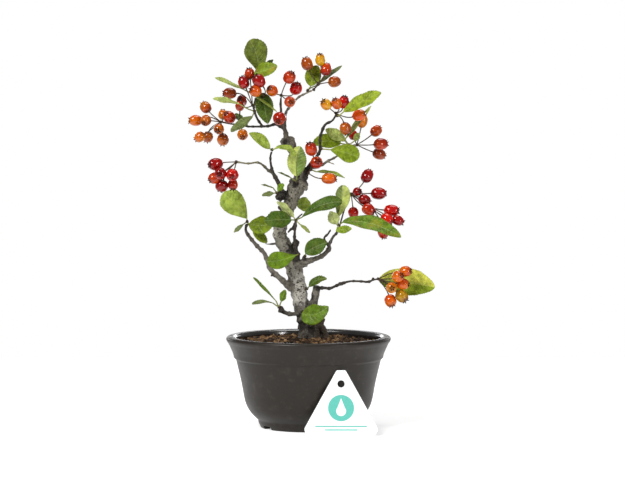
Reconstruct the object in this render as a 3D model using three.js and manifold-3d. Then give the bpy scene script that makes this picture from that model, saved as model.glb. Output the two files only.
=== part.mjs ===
// Oriental photinia bonsai in a round plastic training pot, with berries and a blank card tag.
// Millimetres, +Z up, origin on the ground at the middle of the pot, front of the plant towards -Y.
import * as THREE from "three";
import { mergeVertices } from "three/addons/utils/BufferGeometryUtils.js";
import Module from "manifold-3d";

const wasm = await Module();
wasm.setup();

// Driving dimensions

const CLEARANCE = 0.3;

const POT = {
  sides: 32,
  footRadius: 36,
  footInnerRadius: 31.5,
  footHeight: 3.5,
  rimRadius: 61.8,
  rimHeight: 68.4,
  mouthRadius: 54.5,
  floorRadius: 38,
  floorTop: 6.5,
  drainRadius: 5,
  notchWidth: 9,
  notchHeight: 2.7,
  notchReach: 3,
  notchAngles: [-147, -57, 33, 123],
};

const SOIL = {
  edgeHeight: 63.2,
  crownRise: 4,
  crownRings: [0.86, 0.7, 0.54, 0.38, 0.2],
  wallGap: 0.4,
  grainRelief: 0.9,
  seed: 11,
};

const TAG = {
  width: 53.7,
  footWidth: 47.9,
  topWidth: 6.6,
  height: 48.2,
  cornerHeight: 5.7,
  cornerRound: 0.6,
  shoulderDrop: 1.2,
  holeRadius: 2.7,
  holeDrop: 10,
  thickness: 0.8,
  curveSteps: 5,
  across: 24,
  footDepth: -56.6,
  headDepth: -49.8,
};

// A blade is split along its length into more steps the longer it is.
const BLADE = {
  thickness: 0.7,
  tooth: 0.35,
  wave: 0.3,
  waveTurn: 2.1,
  foldDegrees: 12,
  leastHalfWidth: 0.8,
  stalkRadius: 0.5,
  steps: [[24, 7], [11, 5], [0, 3]],
};

// The stalk of a berry bends in over its last `approach`, a share of its length.
const BERRY = {
  sides: 6,
  pedicelRadius: 0.5,
  crownRadius: 1.35,
  approach: 0.35,
  bend: 0.6,
  longStalk: 16,
};

const BUNCH_STALK = { radius: 0.65, sides: 4 };
const KNUCKLE_RADIUS = 1.2;
const FINEST_EDGE = 0.1;

// Sides of a limb by its widest radius
const LIMB_SIDES = [[5, 9], [2.5, 6], [0, 5]];

// The crown is laid out as it is seen from the front, from EYE. A place is [across, deep, up]:
// across and up as sighted on the plane of the trunk, deep its distance behind that plane.
const EYE = { across: 3, distance: 2200, up: 279 };

function sighted([across, deep, up]) {
  const scale = 1 + deep / EYE.distance;
  return new THREE.Vector3(
    EYE.across + (across - EYE.across) * scale,
    deep,
    EYE.up + (up - EYE.up) * scale,
  );
}

function makeRandom(seed) {
  let state = seed;
  return () => {
    state = (state * 16807) % 2147483647;
    return state / 2147483647;
  };
}

// Solids

function closedGeometry(positions, faces) {
  const geometry = new THREE.BufferGeometry();
  geometry.setAttribute("position", new THREE.Float32BufferAttribute(positions, 3));
  geometry.setIndex(faces);
  return geometry;
}

function solidOf(geometry) {
  const bare = geometry.clone();
  bare.deleteAttribute("normal");
  bare.deleteAttribute("uv");
  const merged = mergeVertices(bare, 1e-4);
  const index = merged.index.array;
  const faces = [];
  for (let i = 0; i < index.length; i += 3) {
    const [a, b, c] = [index[i], index[i + 1], index[i + 2]];
    if (a !== b && b !== c && c !== a) {
      faces.push(a, b, c);
    }
  }
  const mesh = new wasm.Mesh({
    numProp: 3,
    vertProperties: new Float32Array(merged.attributes.position.array),
    triVerts: new Uint32Array(faces),
  });
  mesh.merge();
  return new wasm.Manifold(mesh);
}

function geometryOf(solid) {
  const mesh = solid.getMesh();
  return closedGeometry(Array.from(mesh.vertProperties), Array.from(mesh.triVerts));
}

function join(solids) {
  return solids.reduce((whole, solid) => whole.add(solid));
}

function largestBody(solid) {
  return solid.decompose().reduce((best, body) => (body.volume() > best.volume() ? body : best));
}

// The number that a table gives for a size: the first row whose limit the size passes.
function lookUp(table, size) {
  return table.find(([limit]) => size > limit)[1];
}

function ball(centre, radii, segments = 6) {
  const geometry = new THREE.SphereGeometry(1, segments, 4);
  geometry.rotateX(Math.PI / 2);
  geometry.scale(...radii);
  geometry.translate(centre.x, centre.y, centre.z);
  return solidOf(geometry);
}

// A limb is a tube through points with a radius at each: a cylinder bent onto the path.
function tube(points, radii, sides) {
  const steps = points.length - 1;
  const geometry = new THREE.CylinderGeometry(1, 1, 1, sides, steps);
  const rings = ringFrames(points);
  const position = geometry.attributes.position;
  for (let i = 0; i < position.count; i += 1) {
    const ring = Math.round((position.getY(i) + 0.5) * steps);
    const { side, rise } = rings[ring];
    const place = points[ring]
      .clone()
      .addScaledVector(side, position.getX(i) * radii[ring])
      .addScaledVector(rise, position.getZ(i) * radii[ring]);
    position.setXYZ(i, place.x, place.y, place.z);
  }
  return solidOf(geometry);
}

function ringFrames(points) {
  const frames = [];
  const start = points[1].clone().sub(points[0]);
  const isSteep = Math.abs(start.z) > Math.hypot(start.x, start.y);
  let side = isSteep ? new THREE.Vector3(1, 0, 0) : new THREE.Vector3(0, 0, 1);
  points.forEach((point, i) => {
    const before = points[Math.max(i - 1, 0)];
    const after = points[Math.min(i + 1, points.length - 1)];
    const along = after.clone().sub(before).normalize();
    side = side.clone().addScaledVector(along, -side.dot(along)).normalize();
    frames.push({ side, rise: side.clone().cross(along).normalize() });
  });
  return frames;
}

// Trunk, branches and roots: [across, deep, up, radius]

const LIMBS = {
  trunk: [
    [1.5, 0, 42, 5.5], [1.5, 0, 58, 8.3], [1.5, 0, 67, 8.7], [0.2, 0, 74.5, 7.8], [-1.6, 0, 81, 7],
    [-4.3, 0.5, 88, 6.3], [-6.2, 1, 95.7, 5.9], [-7.5, 1.5, 103, 6.3], [-9.6, 2, 113, 6.2],
    [-11, 2, 120, 6.2], [-13, 1.5, 128, 6.6], [-16.5, 1, 134, 5.9], [-20.3, 0, 141, 5.2],
    [-21.6, -0.5, 147, 5], [-19.4, -1, 155, 4.9], [-16.2, -0.5, 162, 4.9], [-13.4, 0, 168.5, 5.1],
    [-11.6, 0.5, 175, 5.8], [-9, 1, 180.5, 6.5], [-7.4, 1.5, 186, 6.2],
  ],
  leader: [
    [-6, 2, 182, 4.6], [-6.4, 2, 191, 4.3], [-7.2, 2.5, 197, 4.1], [-9.8, 3, 204.5, 3.6],
    [-12, 3.5, 210, 3.4], [-13.4, 4, 215.5, 3.3], [-13.1, 4, 218.3, 2.9],
  ],
  topTwig: [
    [-12, 3, 206, 2.4], [-16.1, 2, 213.4, 2.3], [-17.2, 1, 221.7, 1.8], [-19.1, 0, 226.2, 1.6],
    [-20.3, -2, 232.2, 1.3], [-20.6, -3, 238.2, 1.2], [-20.9, -4, 243, 1], [-20.6, -4, 247.6, 0.9],
  ],
  topRightTwig: [
    [-18, 1, 223.5, 1.5], [-17.6, 1, 229.2, 1.2], [-16.9, 3, 236, 1.1], [-14.6, 5, 239.7, 1.1],
    [-9.4, 8, 245.7, 1], [-6.4, 10, 248.3, 1], [-2.6, 12, 250.2, 0.9], [2.6, 14, 252.8, 0.9],
  ],
  leftTopTwig: [
    [-18, 1, 224, 1.5], [-24.4, 5, 227.3, 1.2], [-29.6, 9, 226.2, 1.2], [-34.9, 13, 225.8, 1.1],
    [-45.4, 20, 225.8, 0.9], [-49.9, 23, 227, 0.9],
  ],
  topSpur: [
    [-34.5, 12.5, 226, 1.1], [-38.6, 10, 232.2, 1.1], [-40.9, 6, 239.7, 1], [-39.4, 2, 247.2, 0.9],
  ],
  leftMiddle: [
    [-15, 0, 171.5, 2.4], [-20.5, 2, 178, 2.2], [-22.1, 2, 182.7, 1.8], [-26.6, 2, 191, 1.5],
  ],
  leftForkUp: [
    [-26.2, 2, 190.4, 1.3], [-28.1, 0, 197, 1.1], [-28.5, -2, 203, 0.9], [-27.6, -3, 207, 0.9],
  ],
  leftForkOut: [
    [-26.2, 2, 190.4, 1.3], [-30.4, 2, 193.2, 1.2], [-33.4, 0, 196.2, 1.1], [-37.9, -3, 198.8, 1],
    [-45.4, -7, 198.1, 0.9], [-53.6, -10, 199.2, 0.9],
  ],
  leftBrokenStub: [[-15, -1, 161.5, 2.2], [-19.6, -1.5, 163.6, 1.7], [-22.9, -2, 166, 1.1]],
  rightUpper: [
    [-4, 2, 186, 2.6], [-0.8, 2, 191.7, 1.9], [1.1, 3, 197, 1.6], [6.4, 5, 203.7, 1.4],
    [8.6, 6, 208.2, 1.3], [8.6, 5, 215.7, 1.2], [9.4, 4, 220.2, 1.2], [12.4, 2, 227, 1.2],
    [17.6, -1, 230, 1], [20.6, -4, 234.2, 0.9],
  ],
  rightSide: [
    [0.6, 2.6, 194.7, 1.3], [5, 5, 195, 1.2], [10.1, 8, 197, 1.2], [14.6, 10, 200, 1.1],
    [19.1, 13, 202.2, 1], [25.9, 16.5, 206.7, 1], [30.4, 19.4, 210.6, 1.1], [35.5, 22, 212, 0.9],
  ],
  whisker: [[13.8, 9.6, 199.6, 0.8], [19.9, 9, 197.3, 0.5]],
  leftLow: [
    [-12.4, 1, 103.5, 3], [-19.1, 0, 110, 2.3], [-24.4, 1, 114.5, 2.1], [-28.6, 3, 119, 2],
    [-31.1, 6, 125.7, 1.8], [-33.4, 8, 131, 1.7], [-37.9, 11, 135.5, 1.6], [-42.4, 13, 140.7, 1.5],
    [-46.9, 15, 147.5, 1.3], [-46.2, 16, 153, 1.1],
  ],
  leftLowNub: [[-26, 1.5, 116, 1.3], [-28.4, 0.2, 113.2, 0.8]],
  frontSpur: [
    [-8, -2, 128, 2.2], [-9.4, -6, 133.2, 1.7], [-10.5, -8, 140.7, 1.3], [-10.1, -9, 149.7, 1.1],
    [-9.6, -9.5, 155, 1.1],
  ],
  frontTwig: [[-9.6, -9.5, 153.5, 1], [-8.2, -10, 157.2, 0.9], [-4.3, -10.5, 160.6, 0.8]],
  frontTwigLow: [[-10.2, -8.8, 148.4, 0.9], [-12.8, -9.3, 149, 0.8], [-15.6, -10, 146, 0.7]],
  thornLeft: [
    [-20.5, -1, 139, 1.8], [-25.9, -2, 137.8, 1], [-31.1, -3, 137.6, 0.6], [-33.4, -3, 138.3, 0.5],
  ],
  rightMiddle: [
    [-7, 1, 121.5, 3], [0.8, -1, 125, 2.2], [10.1, -4, 128.7, 1.8], [15.4, -6, 134, 1.8],
    [15.6, -7, 137, 1.3], [18.4, -9, 143, 1.2], [21.2, -10, 146, 1.1], [22.1, -11, 150.5, 1],
  ],
  rightMiddleTwig: [
    [15.4, -6.4, 135.2, 1.1], [11.8, -7, 141.8, 0.8], [14.6, -8, 145.2, 0.7], [16.7, -8.5, 148.6, 0.7],
  ],
  rightStub: [[-1, -1, 83, 4.2], [3, -2, 91, 3.3], [5, -3, 99, 3], [6.6, -3.5, 106.5, 2.7]],
  rightLong: [
    [6.4, -4, 104.6, 1.5], [12.4, -8, 104.6, 1.3], [16.1, -10, 104.3, 1.3], [20.6, -13, 106.2, 1.2],
    [24.4, -15, 107.7, 1.3], [31.1, -19, 109.6, 1], [38.6, -22, 109.6, 1], [44.6, -25, 109.2, 1.1],
    [47.8, -26, 110.3, 0.9], [51.5, -28, 111.4, 0.9],
  ],
  lowLeft: [
    [-4, -2, 86, 2.6], [-9, -5, 85.3, 1.8], [-14, -8, 85, 1.7], [-19, -10, 86.7, 1.7], [-22.1, -12, 89, 1.5],
  ],
  rootRight: [
    [4, -2, 76, 4], [9, -3, 75.5, 2.8], [11.6, -4, 71.5, 2.6], [14, -5, 64, 2.2], [16, -6, 56, 1.6],
  ],
  rootKnob: [[7, -2, 75, 2.8], [9.6, -2.5, 78.4, 2], [12.2, -3, 81.6, 1.2]],
  rootFrontLeft: [[-1, -3, 74, 4.2], [-4.4, -7.5, 68, 3.2], [-8, -12, 61, 2.2], [-10, -15, 54, 1.5]],
  rootBackLeft: [[-2, 3, 74, 4.2], [-6, 7, 67.5, 3], [-11, 11, 60, 2], [-14, 13, 54, 1.4]],
  rootBackRight: [[4, 4, 74, 4.2], [8, 9, 67.5, 3], [12, 13, 60, 2], [15, 15, 54, 1.4]],
};

// Burls and knots on the wood: [across, deep, up], then radii
const KNOTS = [
  { at: [-21.2, -0.8, 173.4], radii: [3.1, 3, 4] },
  { at: [-19.1, 1, 214.2], radii: [1.9, 1.9, 2.2] },
  { at: [-3.2, 0, 181.5], radii: [2.6, 3, 3.4] },
  { at: [-9.8, -3.6, 137.6], radii: [2.6, 2.4, 3.2] },
  { at: [-2.8, -1.6, 124.8], radii: [3.2, 3.2, 3.4] },
  { at: [-10.1, -9, 151.2], radii: [1.8, 1.8, 2] },
  { at: [-20.4, -11, 88.3], radii: [2.2, 2.1, 2.3] },
  { at: [24.2, -15, 107.7], radii: [1.7, 1.6, 1.6] },
];

function limb(points, extra = 0) {
  const places = points.map(sighted);
  const radii = points.map(([, , , radius]) => radius + extra);
  const start = places[0].clone().sub(places[1]).normalize();
  const last = places.length - 1;
  const end = places[last].clone().sub(places[last - 1]).normalize();
  places[0].addScaledVector(start, extra);
  places[last].addScaledVector(end, extra);
  return tube(places, radii, lookUp(LIMB_SIDES, Math.max(...radii)));
}

function buildWood(extra = 0) {
  const limbs = Object.values(LIMBS).map((points) => limb(points, extra));
  const knots = KNOTS.map(({ at, radii }) => ball(sighted(at), radii.map((radius) => radius + extra)));
  return join([...limbs, ...knots]);
}

const wood = buildWood();
const woodWithClearance = buildWood(CLEARANCE);

// The place of a knuckle that sits on the end of a limb, just clear of it.
function tipOf(name) {
  const [before, last] = LIMBS[name].slice(-2).map((point) => new THREE.Vector3(...point.slice(0, 3)));
  const along = last.clone().sub(before).normalize();
  return last.addScaledVector(along, KNUCKLE_RADIUS + CLEARANCE).toArray();
}

function knuckle(seat) {
  return ball(sighted(seat), [KNUCKLE_RADIUS, KNUCKLE_RADIUS, KNUCKLE_RADIUS], 5);
}

// Leaves

const FORMS = {
  spoon: { widest: 0.66, fullness: 0.54 },
  obovate: { widest: 0.6, fullness: 0.62 },
  oval: { widest: 0.5, fullness: 0.68 },
  ovate: { widest: 0.42, fullness: 0.75 },
  narrow: { widest: 0.55, fullness: 0.8 },
};

function halfWidth(form, t, width) {
  const bend = Math.log(0.5) / Math.log(form.widest);
  return (width / 2) * Math.sin(Math.PI * t ** bend) ** form.fullness;
}

// A leaf is one strip of stations from the knuckle along its stalk and then its blade: the blade is folded
// along the midrib, toothed and waved at its edge, and has its upper side to `face`.
function leafStations(seat, { base, tip, via = [], sag = [0, 0, 0], width, form = "oval" }) {
  const stalk = [seat, ...via].map(sighted);
  const from = sighted(base);
  const to = sighted(tip);
  const middle = from.clone().lerp(to, 0.5).addScaledVector(new THREE.Vector3(...sag), 2);
  const rib = new THREE.QuadraticBezierCurve3(from, middle, to);
  const steps = lookUp(BLADE.steps, from.distanceTo(to));
  const stations = stalk.map((place) => ({ place, half: BLADE.stalkRadius, depth: BLADE.stalkRadius * 2 }));
  for (let i = 0; i <= steps; i += 1) {
    const isEnd = i === 0 || i === steps;
    const tooth = i % 2 ? BLADE.tooth : -BLADE.tooth;
    const half = Math.max(halfWidth(FORMS[form], i / steps, width) + tooth, BLADE.leastHalfWidth);
    stations.push({
      place: rib.getPoint(i / steps),
      half: isEnd ? BLADE.stalkRadius : half,
      depth: BLADE.thickness,
      wave: isEnd ? 0 : BLADE.wave * Math.sin(i * BLADE.waveTurn),
    });
  }
  return stations;
}

function leafSolid(seat, leaf) {
  const fold = THREE.MathUtils.degToRad(leaf.fold ?? BLADE.foldDegrees);
  const stations = leafStations(seat, leaf);
  const face = new THREE.Vector3(...leaf.face);
  const positions = [];
  stations.forEach(({ place, half, depth, wave }, i) => {
    const before = stations[Math.max(i - 1, 0)].place;
    const after = stations[Math.min(i + 1, stations.length - 1)].place;
    const along = after.clone().sub(before).normalize();
    const up = face.clone().addScaledVector(along, -face.dot(along)).normalize();
    const side = along.clone().cross(up);
    const bend = wave === undefined ? 0 : fold;
    for (const surface of [0.5, -0.5]) {
      for (const hand of [-1, 0, 1]) {
        const lift = Math.abs(hand) * half * Math.sin(bend) + hand * (wave ?? 0);
        const point = place
          .clone()
          .addScaledVector(side, hand * half * Math.cos(bend))
          .addScaledVector(up, lift + (surface * depth) / Math.cos(bend));
        positions.push(point.x, point.y, point.z);
      }
    }
  });
  return solidOf(closedGeometry(positions, stripFaces(stations.length - 1)));
}

// Six points a station: upper left, rib and right, then the same below.
function stripFaces(steps) {
  const faces = [];
  const quad = (a, b, c, d) => faces.push(a, b, c, a, c, d);
  for (let i = 0; i < steps; i += 1) {
    const [ul, ur, ll, lr] = [i * 6, i * 6 + 2, i * 6 + 3, i * 6 + 5];
    const [rib, under] = [ul + 1, ll + 1];
    quad(ul, rib, rib + 6, ul + 6);
    quad(rib, ur, ur + 6, rib + 6);
    faces.push(ll, under + 6, under, ll, ll + 6, under + 6);
    faces.push(under, lr + 6, lr, under, under + 6, lr + 6);
    quad(ul + 6, ll + 6, ll, ul);
    quad(ur, lr, lr + 6, ur + 6);
  }
  const end = steps * 6;
  quad(0, 3, 4, 1);
  quad(1, 4, 5, 2);
  quad(end + 1, end + 4, end + 3, end);
  quad(end + 2, end + 5, end + 4, end + 1);
  return faces;
}

function spray({ seat, leaves }) {
  return join([knuckle(seat), ...leaves.map((leaf) => leafSolid(seat, leaf))]).subtract(woodWithClearance);
}

const SPRAYS = {
  leaves_top: {
    seat: tipOf("topSpur"),
    leaves: [
      {
        base: [-37.9, -1, 266.7], tip: [-43.1, -4, 290.7], via: [[-38.5, 1, 257]], sag: [2.2, 0, 0],
        width: 18.4, face: [0.1, -1, 0.15], form: "spoon",
      },
      {
        base: [-36, 3, 266], tip: [-26.3, 6, 275.7], via: [[-37.5, 3, 257]],
        width: 6, face: [0.2, -0.5, 1], form: "narrow",
      },
      {
        base: [-40.4, -6.8, 266], tip: [-23.3, -9, 271.2], via: [[-39.8, -2, 256]], sag: [0, 0, -0.4],
        width: 11.4, face: [-0.2, -0.8, 0.6], fold: 24,
      },
      {
        base: [-47.6, -2, 253.2], tip: [-70.1, -7, 262.2], width: 9, face: [0.3, -0.35, 1], form: "narrow",
      },
      {
        base: [-34.9, -3.5, 251], tip: [-30.4, -5, 227.7], via: [[-37.2, -1, 251]],
        width: 14, face: [0, -1, 0.1], form: "ovate",
      },
      {
        base: [-41.6, -6.5, 249.6], tip: [-23.6, -10, 236.7],
        width: 7, face: [0.7, -0.2, 0.7], form: "narrow",
      },
    ],
  },
  leaves_upper_left: {
    seat: [-40.4, 5.2, 237.2],
    leaves: [
      {
        base: [-51.4, -1, 242.7], tip: [-71.6, -3, 246.5], via: [[-45.5, 2, 239]],
        width: 8, face: [0.1, -0.5, 1], form: "narrow",
      },
      { base: [-41.8, 3, 233.5], tip: [-58.1, -2, 221.7], width: 10, face: [-0.5, -0.7, 0.6] },
    ],
  },
  leaf_upper_left_small: {
    seat: [-46.6, 20, 227],
    leaves: [{ base: [-49.4, 25.8, 229.4], tip: [-55, 29, 235.6], width: 6.4, face: [0.4, -0.8, 0.4] }],
  },
  leaves_left_fork: {
    seat: tipOf("leftForkUp"),
    leaves: [
      {
        base: [-29, -5, 209], tip: [-44.6, -8, 220.6], sag: [0.6, 0, 0.9],
        width: 9, face: [-0.4, -0.7, 0.6], fold: 20,
      },
      {
        base: [-25.5, -8, 209], tip: [-9.4, -15, 203], sag: [0.5, -1, 3.4],
        width: 9.4, face: [0.3, -0.6, 1],
      },
    ],
  },
  leaves_trunk_top: {
    seat: [-9, -4.9, 184.5],
    leaves: [
      {
        base: [-8.6, -7, 188.5], tip: [-6.4, -7.5, 211.2], sag: [-1.2, 0, 0],
        width: 14.6, face: [0, 1, 0.1], form: "oval", fold: 6,
      },
      {
        base: [-13.2, -7, 187.6], tip: [-23.2, -8, 191.6],
        width: 4.6, face: [0.4, -0.3, 0.9], form: "narrow",
      },
    ],
  },
  leaf_centre_right: {
    seat: [1.9, 1.6, 193.4],
    leaves: [
      {
        base: [5.4, 2, 192], tip: [27.4, 4, 187.2], sag: [0, 0, 1],
        width: 7, face: [0, -0.5, 0.9], form: "narrow",
      },
    ],
  },
  leaves_top_right: {
    seat: [-0.6, 12.9, 252.7],
    leaves: [
      { base: [1.8, 15.3, 255.8], tip: [7.1, 17, 271.2], sag: [-1, 0, 0], width: 12.6, face: [0, -1, 0.2] },
      {
        base: [4.8, 18.4, 256], tip: [25.1, 22, 271.2], via: [[1.6, 16, 254.5]],
        width: 7, face: [-0.6, -0.5, 0.7], form: "narrow",
      },
    ],
  },
  leaf_right_long: {
    seat: [21.4, -5.4, 233.8],
    leaves: [
      {
        base: [26, -11, 236.8], tip: [54.4, -17, 251], via: [[23.4, -8.6, 234.4]], sag: [0, 0, 0.6],
        width: 13, face: [-0.3, -0.75, 0.6], form: "oval",
      },
    ],
  },
  leaves_right_upper: {
    seat: [30.2, 18, 212],
    leaves: [
      {
        base: [26.6, 11, 215.2], tip: [46.9, 8, 241.2], via: [[28.8, 15, 213]],
        width: 8, face: [-0.75, -0.5, 0.5], form: "narrow",
      },
      {
        base: [28.2, 15.4, 215.3], tip: [12.7, 12, 223.6], width: 10.4, face: [0.2, -0.75, 0.6], fold: 6,
      },
      {
        base: [24.4, 14, 213], tip: [3.4, 10, 213.2], sag: [0, 0, 1.6],
        width: 12, face: [0, -0.9, 0.4],
      },
      { base: [34.5, 20, 214.8], tip: [37.9, 20, 221], width: 5.5, face: [-0.3, -0.8, 0.3] },
    ],
  },
  leaf_right_front: {
    seat: [9.6, 4.4, 209],
    leaves: [
      {
        base: [16.2, 3, 208.4], tip: [37.9, 4, 202.6], sag: [0, 0, 0.8],
        width: 14.4, face: [0, -1, 0.2], form: "spoon",
      },
    ],
  },
  leaves_left_knob: {
    seat: [-23.8, -2.6, 176],
    leaves: [
      { base: [-26, -3, 179.8], tip: [-35.6, -4, 182.3], width: 4, face: [0, -0.3, 1], form: "narrow" },
      { base: [-26, -4, 176], tip: [-34.9, -6, 173.9], width: 6.2, face: [0, -0.6, 0.8] },
      { base: [-23, -5, 177.4], tip: [-18.4, -6, 182.8], width: 6.4, face: [-0.5, -0.7, 0.5] },
    ],
  },
  leaves_middle: {
    seat: [-9.6, -9.6, 155.6],
    leaves: [
      {
        base: [-10.9, -10, 157.9], tip: [-23.8, -8, 169.5], width: 9.4, face: [0.5, 0.6, 0.6], fold: 8,
      },
      {
        base: [-12.8, -12, 155.8], tip: [-33, -15, 154.8], sag: [0, -1, 0.6],
        width: 14.8, face: [0, -0.9, 0.45], form: "oval",
      },
      {
        base: [-6.6, -11.4, 152.8], tip: [1.1, -13, 146], width: 4.6, face: [0.5, -0.5, 0.8],
      },
      {
        base: [-5.4, -13, 157.4], tip: [25.5, -20, 169.2], sag: [-1, -1, 3.2],
        width: 11.4, face: [-0.3, -0.8, 0.5], form: "spoon",
      },
    ],
  },
  leaf_behind_trunk: {
    seat: [-9.2, 3.6, 167.5],
    leaves: [
      { base: [-7.6, 6, 167], tip: [1.8, 8, 167.7], width: 12, face: [0, -1, 0.2], form: "oval" },
    ],
  },
  leaves_left: {
    seat: tipOf("leftLow"),
    leaves: [
      {
        base: [-46, 15.5, 156.6], tip: [-64.1, 20, 176], sag: [0.6, 0, 0.3],
        width: 18.4, face: [0.1, -1, 0.1], form: "spoon", fold: 6,
      },
      {
        base: [-48.4, 13.6, 153], tip: [-55.9, 12, 146.3],
        width: 4, face: [0.3, -0.4, 0.8], form: "narrow",
      },
      {
        base: [-44.6, 14, 152.8], tip: [-26.5, 9, 153.4], sag: [0, 0, -1.6],
        width: 15, face: [0, -0.9, 0.4], form: "oval",
      },
      {
        base: [-41.6, 16, 148.6], tip: [-31.1, 14, 138.5], via: [[-44.4, 17, 151.4]],
        width: 8, face: [0.2, -0.9, 0.3],
      },
    ],
  },
  leaf_front_middle: {
    seat: [-7.2, -5.6, 130],
    leaves: [
      {
        base: [-9.4, -9.5, 129.4], tip: [-31.1, -14, 124.6], sag: [0, -1, -1.4],
        width: 14.6, face: [0, -0.85, 0.5], form: "spoon",
      },
    ],
  },
  leaf_right_round: {
    seat: [-2.6, -4.6, 128.6],
    leaves: [
      {
        base: [-2.4, -8, 130.4], tip: [13.9, -11, 138.8], sag: [-0.5, 0, 0.8],
        width: 13.4, face: [0, -0.9, 0.4], form: "oval",
      },
    ],
  },
  leaves_right: {
    seat: tipOf("rightMiddle"),
    leaves: [
      {
        base: [21.6, -12.5, 157], tip: [25.9, -12, 182], sag: [0.8, 0, 0],
        width: 12.4, face: [0.3, 0.9, 0.2], fold: 20, form: "spoon",
      },
      {
        base: [20.6, -13.4, 152.4], tip: [16.3, -14.6, 162.4],
        width: 9.6, face: [0.2, 0.9, 0.3], form: "ovate",
      },
      {
        base: [20.4, -16.4, 147.8], tip: [32.4, -18, 149.3], width: 6.4, face: [0, -0.9, 0.4],
      },
      {
        base: [25.4, -14, 154.2], tip: [69.4, -27, 142.6], sag: [0, 0, 4.2],
        width: 13.5, face: [0.1, -0.75, 0.65], form: "oval",
      },
    ],
  },
  leaves_low_left: {
    seat: [-22.2, -12.2, 90],
    leaves: [
      {
        base: [-24, -14, 94.6], tip: [-41.6, -19, 112.4], width: 5, face: [0.6, -0.6, 0.6], form: "narrow",
      },
      {
        base: [-26.2, -14, 93.2], tip: [-42.4, -18, 92.3], sag: [0, 0, 1.4],
        width: 4.8, face: [0, -0.6, 0.8], form: "narrow",
      },
      { base: [-20.6, -14, 94.4], tip: [-17.3, -16, 103.2], width: 6.4, face: [-0.4, -0.8, 0.3] },
    ],
  },
  leaf_low_right: {
    seat: [-1.2, -2.4, 104],
    leaves: [
      {
        base: [0.4, -5, 105.6], tip: [13.9, -10, 111.4], sag: [-0.8, 0, 1.6],
        width: 7.2, face: [0, -0.8, 0.6],
      },
    ],
  },
  leaf_low_front: {
    seat: [-3.8, -5.8, 87],
    leaves: [
      {
        base: [-5, -9.5, 85.6], tip: [15, -16, 90.8], sag: [0, -2, -3.2],
        width: 16.5, face: [0, -0.95, 0.3], form: "ovate",
      },
    ],
  },
  leaf_right_end: {
    seat: [48.6, -25.4, 111.2],
    leaves: [
      {
        base: [52.5, -25, 110.9], tip: [94.9, -28, 105.1], sag: [0, 0, 0.8],
        width: 21.4, face: [0, -0.93, 0.4], form: "oval", fold: 14,
      },
    ],
  },
};

// Berries

// Stations along a pome from its stem end to its crown: share of the length, share of the radius
const POME_STATIONS = [[-0.37, 0.72], [-0.06, 1], [0.27, 0.86]];

// A berry and its stalk are one tube: the stalk leaves the fork of the bunch, comes into the berry
// along its axis and widens into the pome, which ends in a small crown.
function berrySolid(fork, { at, size, toward, from }) {
  const [length, diameter] = size;
  const axis = new THREE.Vector3(...toward).normalize();
  const centre = sighted(at);
  const along = (share) => centre.clone().addScaledVector(axis, share * length);
  const start = sighted(from ?? fork);
  const end = along(-0.5);
  const span = start.distanceTo(end);
  const approach = end.clone().addScaledVector(axis, -span * BERRY.approach);
  const bend = start.clone().lerp(approach, BERRY.bend);
  const stalk = new THREE.CubicBezierCurve3(start, bend, approach, end);
  const stops = stalk.getPoints(span > BERRY.longStalk ? 3 : 2);
  const radii = stops.map(() => BERRY.pedicelRadius);
  for (const [share, swell] of POME_STATIONS) {
    stops.push(along(share));
    radii.push((swell * diameter) / 2);
  }
  stops.push(along(0.5));
  radii.push(BERRY.crownRadius);
  return tube(stops, radii, BERRY.sides);
}

function bunch({ seat, path = [], berries }) {
  const stalk = [seat, ...path];
  const fork = stalk.at(-1);
  const parts = berries.map((berry) => berrySolid(fork, berry));
  if (path.length > 0) {
    const places = stalk.map(sighted);
    const radii = places.map(() => BUNCH_STALK.radius);
    parts.push(tube(places, radii, BUNCH_STALK.sides), knuckle(fork));
  }
  return join([knuckle(seat), ...parts]).subtract(woodWithClearance);
}

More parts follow.
